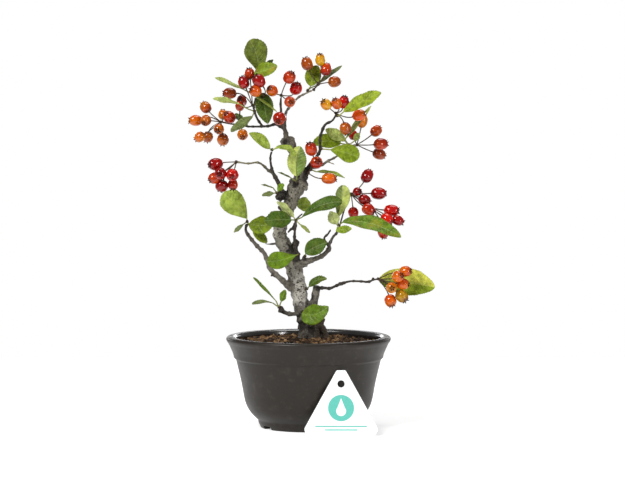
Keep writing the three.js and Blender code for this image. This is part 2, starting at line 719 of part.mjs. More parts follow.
const BUNCHES = {
  berries_top_left: {
    seat: [-41.9, 5.4, 241.6],
    berries: [
      { at: [-44, -1.5, 265], size: [9, 8], toward: [-0.1, -0.2, 1] },
      { at: [-48.4, -7, 258.8], size: [9.8, 8.6], toward: [-0.4, 0, 1] },
      { at: [-37.1, -12.5, 259.9], size: [10.6, 9.6], toward: [0.1, -0.5, 0.85] },
      { at: [-39.6, -12, 252.4], size: [9, 9], toward: [0.6, -0.8, -0.1] },
      { at: [-58.9, 7, 250.6], size: [10.4, 8.3], toward: [-1, -0.1, 0] },
      { at: [-49.9, 16, 245], size: [9.2, 7.8], toward: [-0.8, 0, 0.3] },
    ],
  },
  berries_left: {
    seat: [-50.4, 23.4, 227.4],
    path: [[-57, 26, 227.6], [-65.6, 28, 229.2]],
    berries: [
      { at: [-76.9, 29, 240.2], size: [9.5, 8.6], toward: [-0.6, -0.2, 0.7] },
      { at: [-84.4, 33, 230.3], size: [10.4, 8.3], toward: [-1, -0.1, 0] },
      { at: [-76.9, 24.5, 230.3], size: [8.8, 8.3], toward: [-1, -0.3, 0] },
      { at: [-64.1, 35, 234.6], size: [7.8, 7], toward: [0, 0.3, 1] },
      { at: [-59.3, 23, 233.6], size: [9.4, 9.2], toward: [-0.3, -0.7, 0.5] },
      { at: [-67.1, 21.5, 223.9], size: [8.4, 8], toward: [-0.2, -0.9, -0.3] },
      { at: [-81.4, 25, 217.9], size: [8.6, 8], toward: [-0.7, -0.3, -0.6] },
      { at: [-75.4, 33.5, 218], size: [8.4, 8.2], toward: [-0.2, 0.2, -1] },
      { at: [-64.1, 30, 216.1], size: [9.4, 9], toward: [0, -0.2, -1] },
      { at: [-49.3, 20, 219.6], size: [8.6, 8.4], toward: [0, -0.9, -0.4], from: [-51, 23.6, 227] },
      { at: [-51.4, 7.5, 241.4], size: [8.4, 6.8], toward: [0, -0.3, 1], from: [-51, 23.6, 228] },
    ],
  },
  berries_top_centre: {
    seat: tipOf("topTwig"),
    berries: [
      { at: [-27.2, -7, 252.6], size: [9, 8.6], toward: [-0.4, -0.7, 0.3] },
      { at: [-14.3, -8, 262.6], size: [10, 9.2], toward: [0.5, -0.4, 0.7] },
      { at: [-9.4, -2, 254.3], size: [10, 9.4], toward: [0.7, -0.5, 0.3] },
      { at: [-14, -11, 244.2], size: [8.6, 8.3], toward: [0.4, -0.9, -0.2] },
      { at: [-21.8, -9.5, 231.8], size: [10.6, 9.6], toward: [-0.2, -0.4, -0.8] },
    ],
  },
  berries_top_right: {
    seat: tipOf("topRightTwig"),
    path: [[7.6, 13.6, 257.4]],
    berries: [
      { at: [-1.1, 9, 272.7], size: [10.2, 9], toward: [-0.35, 0, 1] },
      { at: [8.8, 9.5, 275.7], size: [10, 7.6], toward: [0, 0.1, 1] },
      { at: [14, 7, 268.4], size: [9.6, 7.8], toward: [0.2, -0.2, 1] },
      { at: [19.4, 12, 259.2], size: [10, 8.6], toward: [1, -0.2, 0.2] },
    ],
  },
  berries_right_upper: {
    seat: [20.5, -3.4, 235.7],
    berries: [
      { at: [13.1, -9, 242.3], size: [9, 8.2], toward: [-0.5, -0.4, 0.6] },
      { at: [21, -10, 242.9], size: [9, 7.8], toward: [-0.1, -0.2, 1] },
      { at: [26.4, -1, 244], size: [10, 8.4], toward: [0.2, 0.2, 1] },
      { at: [37.9, -1, 234.2], size: [10.8, 8.6], toward: [1, 0, 0.15] },
      { at: [27.7, -2, 224.2], size: [9.8, 8.6], toward: [0.3, -0.1, -1] },
    ],
  },
  berries_right: {
    seat: [36.2, 22.4, 212],
    berries: [
      { at: [50.6, 26, 222.5], size: [9.6, 8.2], toward: [0.7, 0, 0.6] },
      { at: [54, 20, 212.7], size: [11, 9], toward: [1, 0, 0] },
      { at: [52.9, 27, 205.2], size: [10.4, 8.6], toward: [0.9, 0.1, -0.3] },
      { at: [40.3, 25, 230], size: [11, 7.8], toward: [0.2, 0, 1] },
      { at: [33.4, 26, 219.5], size: [8, 7.2], toward: [-0.3, 0.2, 0.9] },
    ],
  },
  berries_centre: {
    seat: [-0.3, -0.6, 190.9],
    berries: [
      { at: [1.9, -9, 209], size: [11, 9], toward: [-0.2, -0.3, 0.85] },
      { at: [6, -8, 198.8], size: [9.6, 9.4], toward: [0.2, -1, 0.3] },
      { at: [15.4, -5, 186.8], size: [11.4, 8.4], toward: [1, -0.1, 0] },
    ],
  },
  berries_left_lower: {
    seat: [-54, -10.2, 199.2],
    berries: [
      { at: [-69.6, -10, 197.7], size: [11.6, 9.4], toward: [-0.9, -0.2, -0.1] },
      { at: [-65.2, -19, 190.4], size: [9.2, 9.2], toward: [-0.2, -0.9, -0.3] },
      { at: [-70.2, -12, 186.6], size: [9, 8.8], toward: [-0.8, -0.2, -0.5] },
      { at: [-64.2, -10, 180.6], size: [9.4, 9.6], toward: [-0.3, 0, -1] },
      { at: [-57, -18, 189.5], size: [9.6, 9.4], toward: [-0.1, -0.8, -0.5] },
      { at: [-56.6, -11, 182.3], size: [8.4, 7.6], toward: [0, -0.2, -1] },
    ],
  },
  berries_right_middle: {
    seat: [22.6, -9, 148.4],
    path: [[24.4, -5, 155], [28, 1, 167], [31.9, 5, 175.2]],
    berries: [
      { at: [43.9, 9, 188.7], size: [11, 9], toward: [0.5, 0, 0.85] },
      { at: [36.6, 0, 177], size: [7.4, 6.6], toward: [0.6, -0.9, 0.1] },
      { at: [52.5, 10, 175.6], size: [11.8, 9.2], toward: [1, 0, 0] },
      { at: [42, 1.5, 170.9], size: [9.8, 8.2], toward: [0.8, -0.4, -0.3] },
      { at: [45, -4, 163.6], size: [10.4, 9], toward: [0.8, -0.3, -0.5] },
      { at: [33.6, 4, 161.3], size: [8.6, 7.8], toward: [0.1, 0, -1] },
      { at: [62.2, 6, 162.8], size: [11, 9], toward: [1, 0, -0.1] },
      { at: [58, -2.5, 157], size: [10.6, 8.6], toward: [0.8, -0.3, -0.4] },
      { at: [67, 1, 155.4], size: [9.4, 7.6], toward: [0.9, 0, -0.4] },
      { at: [56, 7, 146], size: [8.8, 8], toward: [0.2, 0, -1] },
    ],
  },
  berries_right_end: {
    seat: [52.2, -28.4, 111.4],
    berries: [
      { at: [72.7, -37, 117.1], size: [8.8, 8.2], toward: [0.9, -0.1, 0.2] },
      { at: [67.1, -44, 113.2], size: [9, 8.6], toward: [0.5, -0.8, 0.2] },
      { at: [71, -39.5, 107.6], size: [9.2, 8.4], toward: [0.9, -0.3, -0.1] },
      { at: [62.4, -42, 104.8], size: [8.4, 8.2], toward: [0.1, -0.9, -0.3] },
      { at: [70, -38, 98.4], size: [10.4, 8.8], toward: [0.7, -0.2, -0.5] },
      { at: [61.6, -36, 95], size: [9.6, 9], toward: [0.2, -0.3, -0.8] },
    ],
  },
};

// Pot, soil and tag

// Outlines of the pot: [radius, height]
const POT_OUTSIDE = [
  [POT.footInnerRadius, 0], [POT.footRadius, 0], [37.7, 3.5], [38.2, 5.8], [41.2, 8.7], [44.2, 12.2],
  [46.4, 16.1], [48.1, 21.2], [50.7, 34.9], [54.5, 51], [56, 52.3], [57.8, 58.1], [60.2, 62.8],
  [POT.rimRadius, 66.6], [60, POT.rimHeight], [56.4, POT.rimHeight],
];

const POT_INSIDE = [
  [POT.mouthRadius, 66.4], [53.8, 60], [48.4, 34.9], [43.4, 14.6], [POT.floorRadius, POT.floorTop],
];

const POT_FLOOR = [
  [POT.drainRadius, POT.floorTop], [POT.drainRadius, POT.footHeight], [POT.footInnerRadius, POT.footHeight],
];

function lathe(outline) {
  const points = outline.map(([r, h]) => new THREE.Vector2(r, h));
  const geometry = new THREE.LatheGeometry(points, POT.sides);
  geometry.rotateX(Math.PI / 2);
  return geometry;
}

function buildPot() {
  const outline = [...POT_OUTSIDE, ...POT_INSIDE, ...POT_FLOOR];
  const shell = solidOf(lathe([...outline, outline[0]]));
  const notches = POT.notchAngles.map((degrees) => {
    const depth = POT.footRadius - POT.footInnerRadius + POT.notchReach * 2;
    const cutter = new THREE.BoxGeometry(POT.notchWidth, depth, POT.notchHeight * 2);
    cutter.translate(0, -(POT.footRadius + POT.footInnerRadius) / 2, 0);
    cutter.rotateZ(THREE.MathUtils.degToRad(degrees));
    return solidOf(cutter);
  });
  return notches.reduce((pot, notch) => pot.subtract(notch), shell);
}

function innerRadiusAt(height) {
  const upper = POT_INSIDE.findIndex(([, h]) => h <= height);
  const [r1, h1] = POT_INSIDE[upper - 1];
  const [r0, h0] = POT_INSIDE[upper];
  return r0 + ((r1 - r0) * (height - h0)) / (h1 - h0);
}

// The soil fills the pot to a low, grainy crown, and has a plain hole for the trunk and each root.
function soilOutline() {
  const edge = innerRadiusAt(SOIL.edgeHeight) - CLEARANCE;
  const floor = POT.floorTop + CLEARANCE;
  const wall = POT_INSIDE.filter(([, h]) => h < SOIL.edgeHeight)
    .map(([r, h]) => [r - SOIL.wallGap, Math.max(h, floor)])
    .reverse();
  const crown = [1, ...SOIL.crownRings, 0]
    .map((share) => [edge * share, SOIL.edgeHeight + (1 - share ** 2) * SOIL.crownRise]);
  return { outline: [[0, floor], ...wall, ...crown], firstGrainy: wall.length + 2 };
}

function buildSoil() {
  const { outline, firstGrainy } = soilOutline();
  const geometry = lathe(outline);
  const random = makeRandom(SOIL.seed);
  const position = geometry.attributes.position;
  const perLine = outline.length;
  const relief = Array.from({ length: POT.sides * perLine }, () => (random() - 0.5) * 2 * SOIL.grainRelief);
  for (let i = 0; i < position.count; i += 1) {
    const ring = i % perLine;
    const line = Math.floor(i / perLine) % POT.sides;
    if (ring >= firstGrainy && ring < perLine - 1) {
      position.setZ(i, position.getZ(i) + relief[line * perLine + ring]);
    }
  }
  return solidOf(geometry).subtract(woodWithClearance);
}

// The tag is a triangle with its corners cut off round. It stands in front of the pot and leans on it.
function buildTag() {
  const { width, footWidth, topWidth, height, cornerHeight, cornerRound, shoulderDrop, thickness } = TAG;
  const shoulder = topWidth / 2 + (width - topWidth) / 2 * (shoulderDrop / (height - cornerHeight));
  const outline = new THREE.Shape();
  outline.moveTo(-footWidth / 2, 0);
  outline.lineTo(footWidth / 2, 0);
  outline.quadraticCurveTo(width / 2 + cornerRound, cornerHeight / 2, width / 2, cornerHeight);
  outline.lineTo(shoulder, height - shoulderDrop);
  outline.quadraticCurveTo(topWidth / 2, height, topWidth / 2 - cornerRound, height);
  outline.lineTo(cornerRound - topWidth / 2, height);
  outline.quadraticCurveTo(-topWidth / 2, height, -shoulder, height - shoulderDrop);
  outline.lineTo(-width / 2, cornerHeight);
  outline.quadraticCurveTo(-width / 2 - cornerRound, cornerHeight / 2, -footWidth / 2, 0);
  const hole = new THREE.Path();
  hole.absarc(0, height - TAG.holeDrop, TAG.holeRadius, 0, Math.PI * 2, true);
  outline.holes.push(hole);
  const plate = { depth: thickness, bevelEnabled: false, curveSegments: TAG.curveSteps };
  const geometry = new THREE.ExtrudeGeometry(outline, plate);
  const lean = Math.atan2(TAG.headDepth - TAG.footDepth, height);
  geometry.rotateX(Math.PI / 2 - lean);
  geometry.translate(TAG.across, TAG.footDepth, thickness * Math.sin(lean));
  return solidOf(geometry);
}

// Materials and the group

function material(color, roughness) {
  return new THREE.MeshStandardMaterial({ color, roughness, metalness: 0 });
}

const MATERIALS = {
  pot: material(0x3a3733, 0.45),
  soil: material(0x6b4526, 0.95),
  bark: material(0x7d776c, 0.85),
  leaf: material(0x4d7a1e, 0.45),
  paleLeaf: material(0x96ab5e, 0.6),
  berry: material(0xb3240f, 0.2),
  orangeBerry: material(0xd9661a, 0.2),
  card: material(0xf2f4f3, 0.5),
};

const PALE_SPRAYS = ["leaves_trunk_top", "leaves_left_fork", "leaves_left"];
const ORANGE_BUNCHES = ["berries_left", "berries_top_right", "berries_right_end"];

const bonsai = new THREE.Group();

function addPiece(name, solid, finish) {
  const mesh = new THREE.Mesh(geometryOf(largestBody(solid.asOriginal().simplify(FINEST_EDGE))), finish);
  mesh.name = name;
  bonsai.add(mesh);
}

addPiece("pot", buildPot(), MATERIALS.pot);
addPiece("soil", buildSoil(), MATERIALS.soil);
addPiece("tag", buildTag(), MATERIALS.card);
addPiece("trunk", wood, MATERIALS.bark);
for (const [name, layout] of Object.entries(SPRAYS)) {
  const finish = PALE_SPRAYS.includes(name) ? MATERIALS.paleLeaf : MATERIALS.leaf;
  addPiece(name, spray(layout), finish);
}
for (const [name, layout] of Object.entries(BUNCHES)) {
  const finish = ORANGE_BUNCHES.includes(name) ? MATERIALS.orangeBerry : MATERIALS.berry;
  addPiece(name, bunch(layout), finish);
}

export default bonsai;
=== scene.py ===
"""Oriental photinia bonsai in a training pot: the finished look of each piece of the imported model.

The layout is in millimetres, in the model's frame. Meshes are written in metres.
"""

import math
import random
from types import SimpleNamespace

import bmesh
import bpy
import numpy as np
from mathutils import Matrix, Quaternion, Vector, kdtree, noise


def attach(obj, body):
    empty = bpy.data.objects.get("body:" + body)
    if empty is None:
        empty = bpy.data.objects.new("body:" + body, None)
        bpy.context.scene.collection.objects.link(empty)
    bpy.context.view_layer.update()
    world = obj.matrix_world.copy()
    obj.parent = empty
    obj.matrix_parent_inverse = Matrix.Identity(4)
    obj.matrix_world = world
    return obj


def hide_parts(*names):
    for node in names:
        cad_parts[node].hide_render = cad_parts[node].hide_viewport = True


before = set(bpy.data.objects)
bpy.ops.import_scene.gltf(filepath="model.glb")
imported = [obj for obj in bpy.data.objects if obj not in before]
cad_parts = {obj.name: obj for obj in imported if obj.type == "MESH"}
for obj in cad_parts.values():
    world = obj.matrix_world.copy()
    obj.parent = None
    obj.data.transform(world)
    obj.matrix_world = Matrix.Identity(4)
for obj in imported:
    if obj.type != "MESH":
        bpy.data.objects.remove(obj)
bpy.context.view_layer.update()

MM = 0.001
UP = np.array([0.0, 0.0, 1.0])

# The crown is laid out as it is seen from the front. A place is [across, deep, up]: across and up as
# sighted on the plane of the trunk, deep its distance behind that plane.
EYE = SimpleNamespace(across=3, distance=2200, up=279)

# The camera stands at the eye and looks a little down at the middle of the picture.
VIEW = SimpleNamespace(aim_up=141.8, across_mm=468.75, sensor_mm=36, clip_end=50)

# Area lights: place and size in metres, power in watts
LIGHTS = {
    "Key": {"place": (-1.1, -1.3, 1.5), "size": (0.8, 0.8), "power": 42},
    "Fill": {"place": (1.3, -1.35, 0.45), "size": (0.3, 0.8), "power": 12},
    "Top": {"place": (0.2, 0.5, 1.8), "size": (0.9, 0.9), "power": 12},
    "Back": {"place": (0, 2.2, 0.42), "size": (3.4, 0.3), "power": 14},
}
LIGHT_AIM = (0, 0, 0.15)
SURROUND = 0.25
FLOOR_GLOW = 0.42
FLOOR_REACH = 0.5

# Sizes are in millimetres and angles in degrees, where nothing else is said.
POT = SimpleNamespace(
    segments=160, step=0.9, corner=0.45, notch_width=9, notch_height=2.7, notch_reach=3,
    notch_angles=[-147, -57, 33, 123], straight=0.94, corner_share=0.4, corner_points=5,
)

# The pot's section, radius and height: each run is a smooth curve, and runs meet at softened corners.
POT_FOOT = [(31.5, 3.5), (31.5, 0), (36, 0)]
POT_BODY = [
    (37.7, 3.5), (38.2, 5.8), (41.2, 8.7), (44.2, 12.2), (46.4, 16.1), (48.1, 21.2), (50.7, 34.9),
    (54.5, 51),
]
POT_BAND = [(56, 52.3), (56.7, 55.4), (57.8, 58.1), (59.2, 61.2), (60.3, 63.5)]
POT_LIP = [(60.9, 64.2), (61.6, 65.5), (61.8, 66.7), (61.2, 67.8), (60, 68.4), (57.6, 68.4)]
POT_INSIDE = [
    (56.2, 68.3), (55, 67.6), (54.4, 66.2), (53.8, 60), (51.3, 47), (48.4, 34.9), (46, 24), (43.4, 14.6),
    (38, 6.5),
]
POT_FLOOR = [(5, 6.5), (5, 3.5)]

# The pot's two faces, with display colours of their darker and their lighter tone
POT_LOOKS = {
    "PotOutside": {"roughness": 0.42, "gloss": 0.28, "low": (28, 23, 18), "high": (37, 31, 25)},
    # The inside's tones are darker than the outside's: painted shade on the inner wall.
    "PotInsideShaded": {"roughness": 0.15, "gloss": 1.0, "low": (16, 14, 12), "high": (24, 21, 18)},
}

SOIL = SimpleNamespace(
    seed=11, edge_radius=53.7, edge_height=63.2, crown_rise=4, right_drop=1.1, bed_drop=1.5, bed_rings=26,
    bed_shares=(0.995, 0.02), bed_rough=0.7, bed_fineness=0.45, grain_spacing=3.1, grain_inside=0.9,
    row_share=0.866, grain_shift=1, grain_radius=(0.8, 2.8), grain_rough=0.9, grain_stretch=(0.75, 1.15),
    grain_sink=0.5, grain_lift=(-0.6, 0.4), grain_crest=1.6, grain_tone=(0.75, 1.15),
    grain_seeds=90, spare_columns=6,
)

# The bed's floor and walls, radius and height, and its segments round
SOIL_WALLS = [(0.2, 6.8), (37.4, 6.8), (43, 14.6), (48, 34.9), (53.2, 60)]
BED_SEGMENTS = 96

# Display colours of the bed, painted near-black as the shade in the gaps between the granules, and of the
# granules
SOIL_GAP_SHADE = (18, 13, 9)
SOIL_TONES = [
    (122, 94, 66), (80, 60, 42), (152, 120, 84), (52, 39, 28), (182, 146, 106), (98, 78, 60),
    (62, 46, 31), (134, 102, 66), (38, 28, 20),
]

TAG = SimpleNamespace(
    width=53.7, foot_width=47.9, top_width=6.6, height=48.2, corner_height=5.7, corner_round=0.6,
    shoulder_drop=1.2, hole_radius=2.7, hole_drop=10, thickness=0.8, edge_round=0.15, across=24,
    foot_depth=-56.6, head_depth=-49.8, foot_points=12, top_points=8, hole_points=40, sharp_edge=50,
)

# A plain roundel with a drop left white in it, and two ruled lines
PRINT = SimpleNamespace(
    roundel_up=20.5, roundel_radius=9.6, drop_low=2.2, drop_radius=3.6, drop_reach=9.4, drop_seam=0.6,
    lines=[(7.2, 19), (4.6, 12)], line_half=0.5, soft=0.12,
)

# Random turns, in radians, and random places in a noise are drawn up to here.
TURN = 6
SHIFT = 50

# A leaf. Twist is in radians, wave and curl are shares of its width, and waves are counted along it.
# The growths say how soon teeth and waves stand at full height as the blade widens, and rib_fold is the
# share of the fold that is there already at the rib.
BLADE = SimpleNamespace(
    thickness=0.34, edge_thickness=0.14, least_half_width=0.12, tooth_spacing=1.5, tooth_height=0.5,
    tooth_foot=0.4, tooth_lean=0.9, tooth_growth=1.5, toothed_from=0.75, least_teeth=5, rows_per_tooth=3,
    half_columns=6, fold=12, rib_fold=0.55, vein_spacing=2.6, vein_slant=1.5, pucker=0.24, wave=0.045,
    waves=(1.3, 2.2), wave_growth=1.3, wave_lag=0.9, twist=0.16, still=0.3, curl=(-0.05, 0.12),
    stalk_radius=0.5, stalk_sides=7, stalk_step=0.8, stalk_flat=0.8, rib_radii=(0.4, 0.12),
)

# A berry and its stalk: step, bend and the swellings are shares, and fineness is per millimetre
BERRY = SimpleNamespace(
    sides=22, step=0.06, uneven=0.06, fineness=0.22, pedicel_radius=0.42, pedicel_sides=7,
    pedicel_points=12, pedicel_sunk=0.4, approach=0.35, bend=0.6, foot_swell=1.4, end_swell=(1.15, 1.5),
    change=0.06, least_share=0.03,
)

# The dry lobes at a fruit's end, and the heart among them. Places are shares of the fruit's length, foot
# and spread are shares of its radius, and heights and radii are in millimetres.
CROWN = SimpleNamespace(
    lobes=5, place=0.44, foot=0.25, spread=(0.2, 0.44), spread_change=0.04, height=(0.8, 1.2), knee=0.5,
    radii=(0.52, 0.44, 0.08), sides=6, flat=0.55, heart_place=0.41, heart_radius=0.32, heart_rough=0.4,
)

FIRST_SPRAY_SEED = 1
FIRST_BUNCH_SEED = 101
BUNCH_STALK = SimpleNamespace(radius=0.6, step=1.2, sides=8)
KNUCKLE_RADIUS = 1.2
KNUCKLE_ROUGH = 0.35

# The noise on a lump: how fine it is, to the lump's radius, and how far along it a seed starts
LUMP_FINENESS = 1.7
LUMP_SHIFT = (3.1, 1.7, 1)

# The wood's skin. Swellings are shares of the radius, and their places are counted in steps. The pairs
# slimmed, waved, noded and thick are the radii between which a trait comes or goes, and mark_growth says
# how soon a mark is at its darkest, from its rim inwards.
BARK = SimpleNamespace(
    voxel=0.45, step=0.9, sides=14, slim=0.18, seed=5, swell=0.06, swell_pace=0.9, node_swell=0.42,
    first_node=(2, 6), node_gap=(5, 10), node_length=0.9, end_share=0.6, knot_rough=0.7, relax=0.5,
    relax_rounds=3, slimmed=(1.2, 3), waved=(0.7, 2.5), noded=(1.5, 3), thick=(1.2, 4.5), neighbours=4,
    nearness=0.4, mark_growth=1.5,
)

# Relief of the bark: how fine each noise is, per millimetre, and how high it stands, in millimetres
BARK_FINENESS = {"swell": 0.22, "plate": (0.5, 0.5, 0.34), "wart": 0.9, "lump": 1.5}
BARK_HEIGHT = {"swell": 0.35, "plate": 0.4, "wart": 1.1, "lump": 0.14}
WART_FROM = 0.25

# Where along its length a blade is widest, and how full it is to its ends
LEAF_FORMS = {
    "spoon": {"widest": 0.66, "fullness": 0.52},
    "oval": {"widest": 0.5, "fullness": 0.62},
    "ovate": {"widest": 0.42, "fullness": 0.72},
    "narrow": {"widest": 0.55, "fullness": 0.75},
    "strap": {"widest": 0.72, "fullness": 0.5},
}

# Display colours of the upper side and the underside
LEAF_LOOKS = {
    "olive": [(102, 116, 34), (152, 166, 92)], "green": [(96, 128, 8), (150, 168, 62)],
    "deep": [(60, 90, 8), (104, 134, 44)], "dark": [(66, 90, 10), (104, 124, 50)],
    "bright": [(128, 150, 16), (166, 182, 70)], "golden": [(206, 206, 78), (200, 204, 110)],
    "yellow": [(152, 172, 24), (186, 198, 96)], "light": [(160, 182, 70), (172, 188, 92)],
    "pale": [(168, 182, 94), (188, 198, 122)], "grey": [(106, 120, 66), (150, 160, 112)],
}

# A blade's two sides, and how far the rib, the veins and their net show on each
LEAF_SKINS = {
    "LeafUpper": {"roughness": 0.28, "rib_share": 0.19, "vein_share": 0.1, "net_share": 0.04},
    "LeafUnder": {"roughness": 0.55, "rib_share": 0.8, "vein_share": 0.5, "net_share": 0.25},
}

# Display colours of the fruit and of its ripest cheek. flame is orange brightened with painted light, for a
# berry that a leaf above shades.
RIPENESS = {
    "red": [(180, 6, 4), (208, 26, 8)], "crimson": [(132, 1, 2), (160, 8, 6)],
    "scarlet": [(164, 24, 2), (190, 58, 6)], "flame": [(234, 82, 4), (242, 118, 12)],
    "russet": [(188, 64, 3), (204, 86, 7)], "coral": [(176, 46, 22), (202, 88, 36)],
    "orange": [(202, 76, 2), (214, 106, 8)], "amber": [(212, 130, 14), (206, 100, 8)],
    "yellow": [(228, 176, 22), (212, 130, 14)], "straw": [(178, 136, 20), (164, 104, 14)],
    "rust": [(160, 70, 8), (188, 96, 14)], "brown": [(140, 46, 2), (166, 66, 5)],
    "olive": [(176, 100, 16), (182, 68, 8)],
}

LEAF_EDGE = (122, 92, 40)
LEAF_STAIN = (168, 128, 34)

WHITE = (1, 1, 1, 1)

# Where a leaf's tones change: from its middle to its tip, along it, from its left to its right, in
# millimetres, where it is stained, by noise, and where its edge is worn, across it
LEAF_TONES = SimpleNamespace(
    to_tip=(0.45, 0.75), to_right=(-0.4, 0.4), stained=(0.05, 0.4), stain=0.06, patches=0.24,
    worn=(0.86, 1), wear=0.2, change=0.06,
)

# Where a berry's tones change: over to its cheek, to its darker ends and into its dimple, along it.
# Its cheek looks no further back than cheek_back.
BERRY_TONES = SimpleNamespace(
    cheek=(-0.25, 0.45), cheek_back=0.4, ends=(0.3, 0.47), end_dark=0.3, dimple=(0.455, 0.475),
    dimple_dark=0.3,
)

# The tint of the light that a leaf throws back
LEAF_GLEAM = (0.78, 1.0, 0.5, 1.0)

TWIG_BROWN = (74, 62, 50)
STALK_GREEN = (138, 138, 84)
PEDICEL = (92, 76, 58)
CROWN_BROWN = (24, 15, 10)
CROWN_HEART = (78, 40, 24)

# Display colours of the wood
WOOD_TONES = {
    "bark": (186, 182, 172), "upper_bark": (118, 113, 97), "leader": (102, 97, 84),
    "worn_bark": (152, 148, 134), "limb": (120, 114, 104), "twig": (54, 47, 38), "black": (38, 33, 26),
    "coal": (30, 26, 21), "grey": (148, 141, 122), "green": (142, 138, 106), "root": (74, 61, 48),
}

# Display colours that the finishes mix in. The stain dye is the bark's painted shade in its hollows and
# crotches.
DYES = {
    "dust": (104, 98, 88), "pit": (120, 110, 100), "damp": (96, 80, 66), "plate": (150, 146, 140),
    "blotch": (56, 50, 43), "fleck": (232, 228, 218), "lenticel": (34, 29, 24), "stain": (26, 22, 18),
    "leaf_shade": (168, 172, 150), "vein": (222, 228, 176), "deep_skin": (150, 96, 80),
    "dot": (232, 168, 96), "dry_stalk": (120, 104, 92), "card_low": (238, 243, 243),
    "card_high": (247, 250, 250), "ink_low": (80, 172, 158), "ink_high": (100, 188, 174),
    "paper": (242, 242, 242),
}

# Tones along each limb, from its foot to its end
LIMB_TONES = {
    "leader": ("upper_bark", "leader"), "top_twig": ("leader", "twig"),
    "top_right_twig": ("twig", "grey"), "left_top_twig": ("black", "black"),
    "left_middle": ("black", "black", "twig"), "left_fork_up": ("black", "black"),
    "left_fork_out": ("twig", "green"), "right_upper": ("black", "black"), "right_side": ("twig", "grey"),
    "whisker": ("grey", "grey"), "left_low": ("limb", "twig"), "right_middle": ("limb", "black"),
    "right_stub": ("black", "limb"), "right_long": ("black", "twig"), "low_left": ("limb", "black"),
    "front_spur": ("black", "twig"), "thorn_left": ("worn_bark", "coal", "coal"),
    "root_right": ("root", "root"), "root_knob": ("root", "root"),
}

# The trunk's tone changes with height, which is in millimetres.
TRUNK_TONES = [
    (78, "coal"), (86, "black"), (95, "bark"), (114, "bark"), (121, "worn_bark"), (132, "limb"),
    (141, "worn_bark"), (158, "worn_bark"), (168, "upper_bark"), (181, "leader"), (190, "upper_bark"),
]


def unit(vector):
    return vector / np.linalg.norm(vector)


def sighted(place):
    """The point of the model's frame that a place of the layout stands for."""
    across, deep, up = place[:3]
    scale = 1 + deep / EYE.distance
    return np.array([
        EYE.across + (across - EYE.across) * scale,
        deep,
        EYE.up + (up - EYE.up) * scale,
    ])


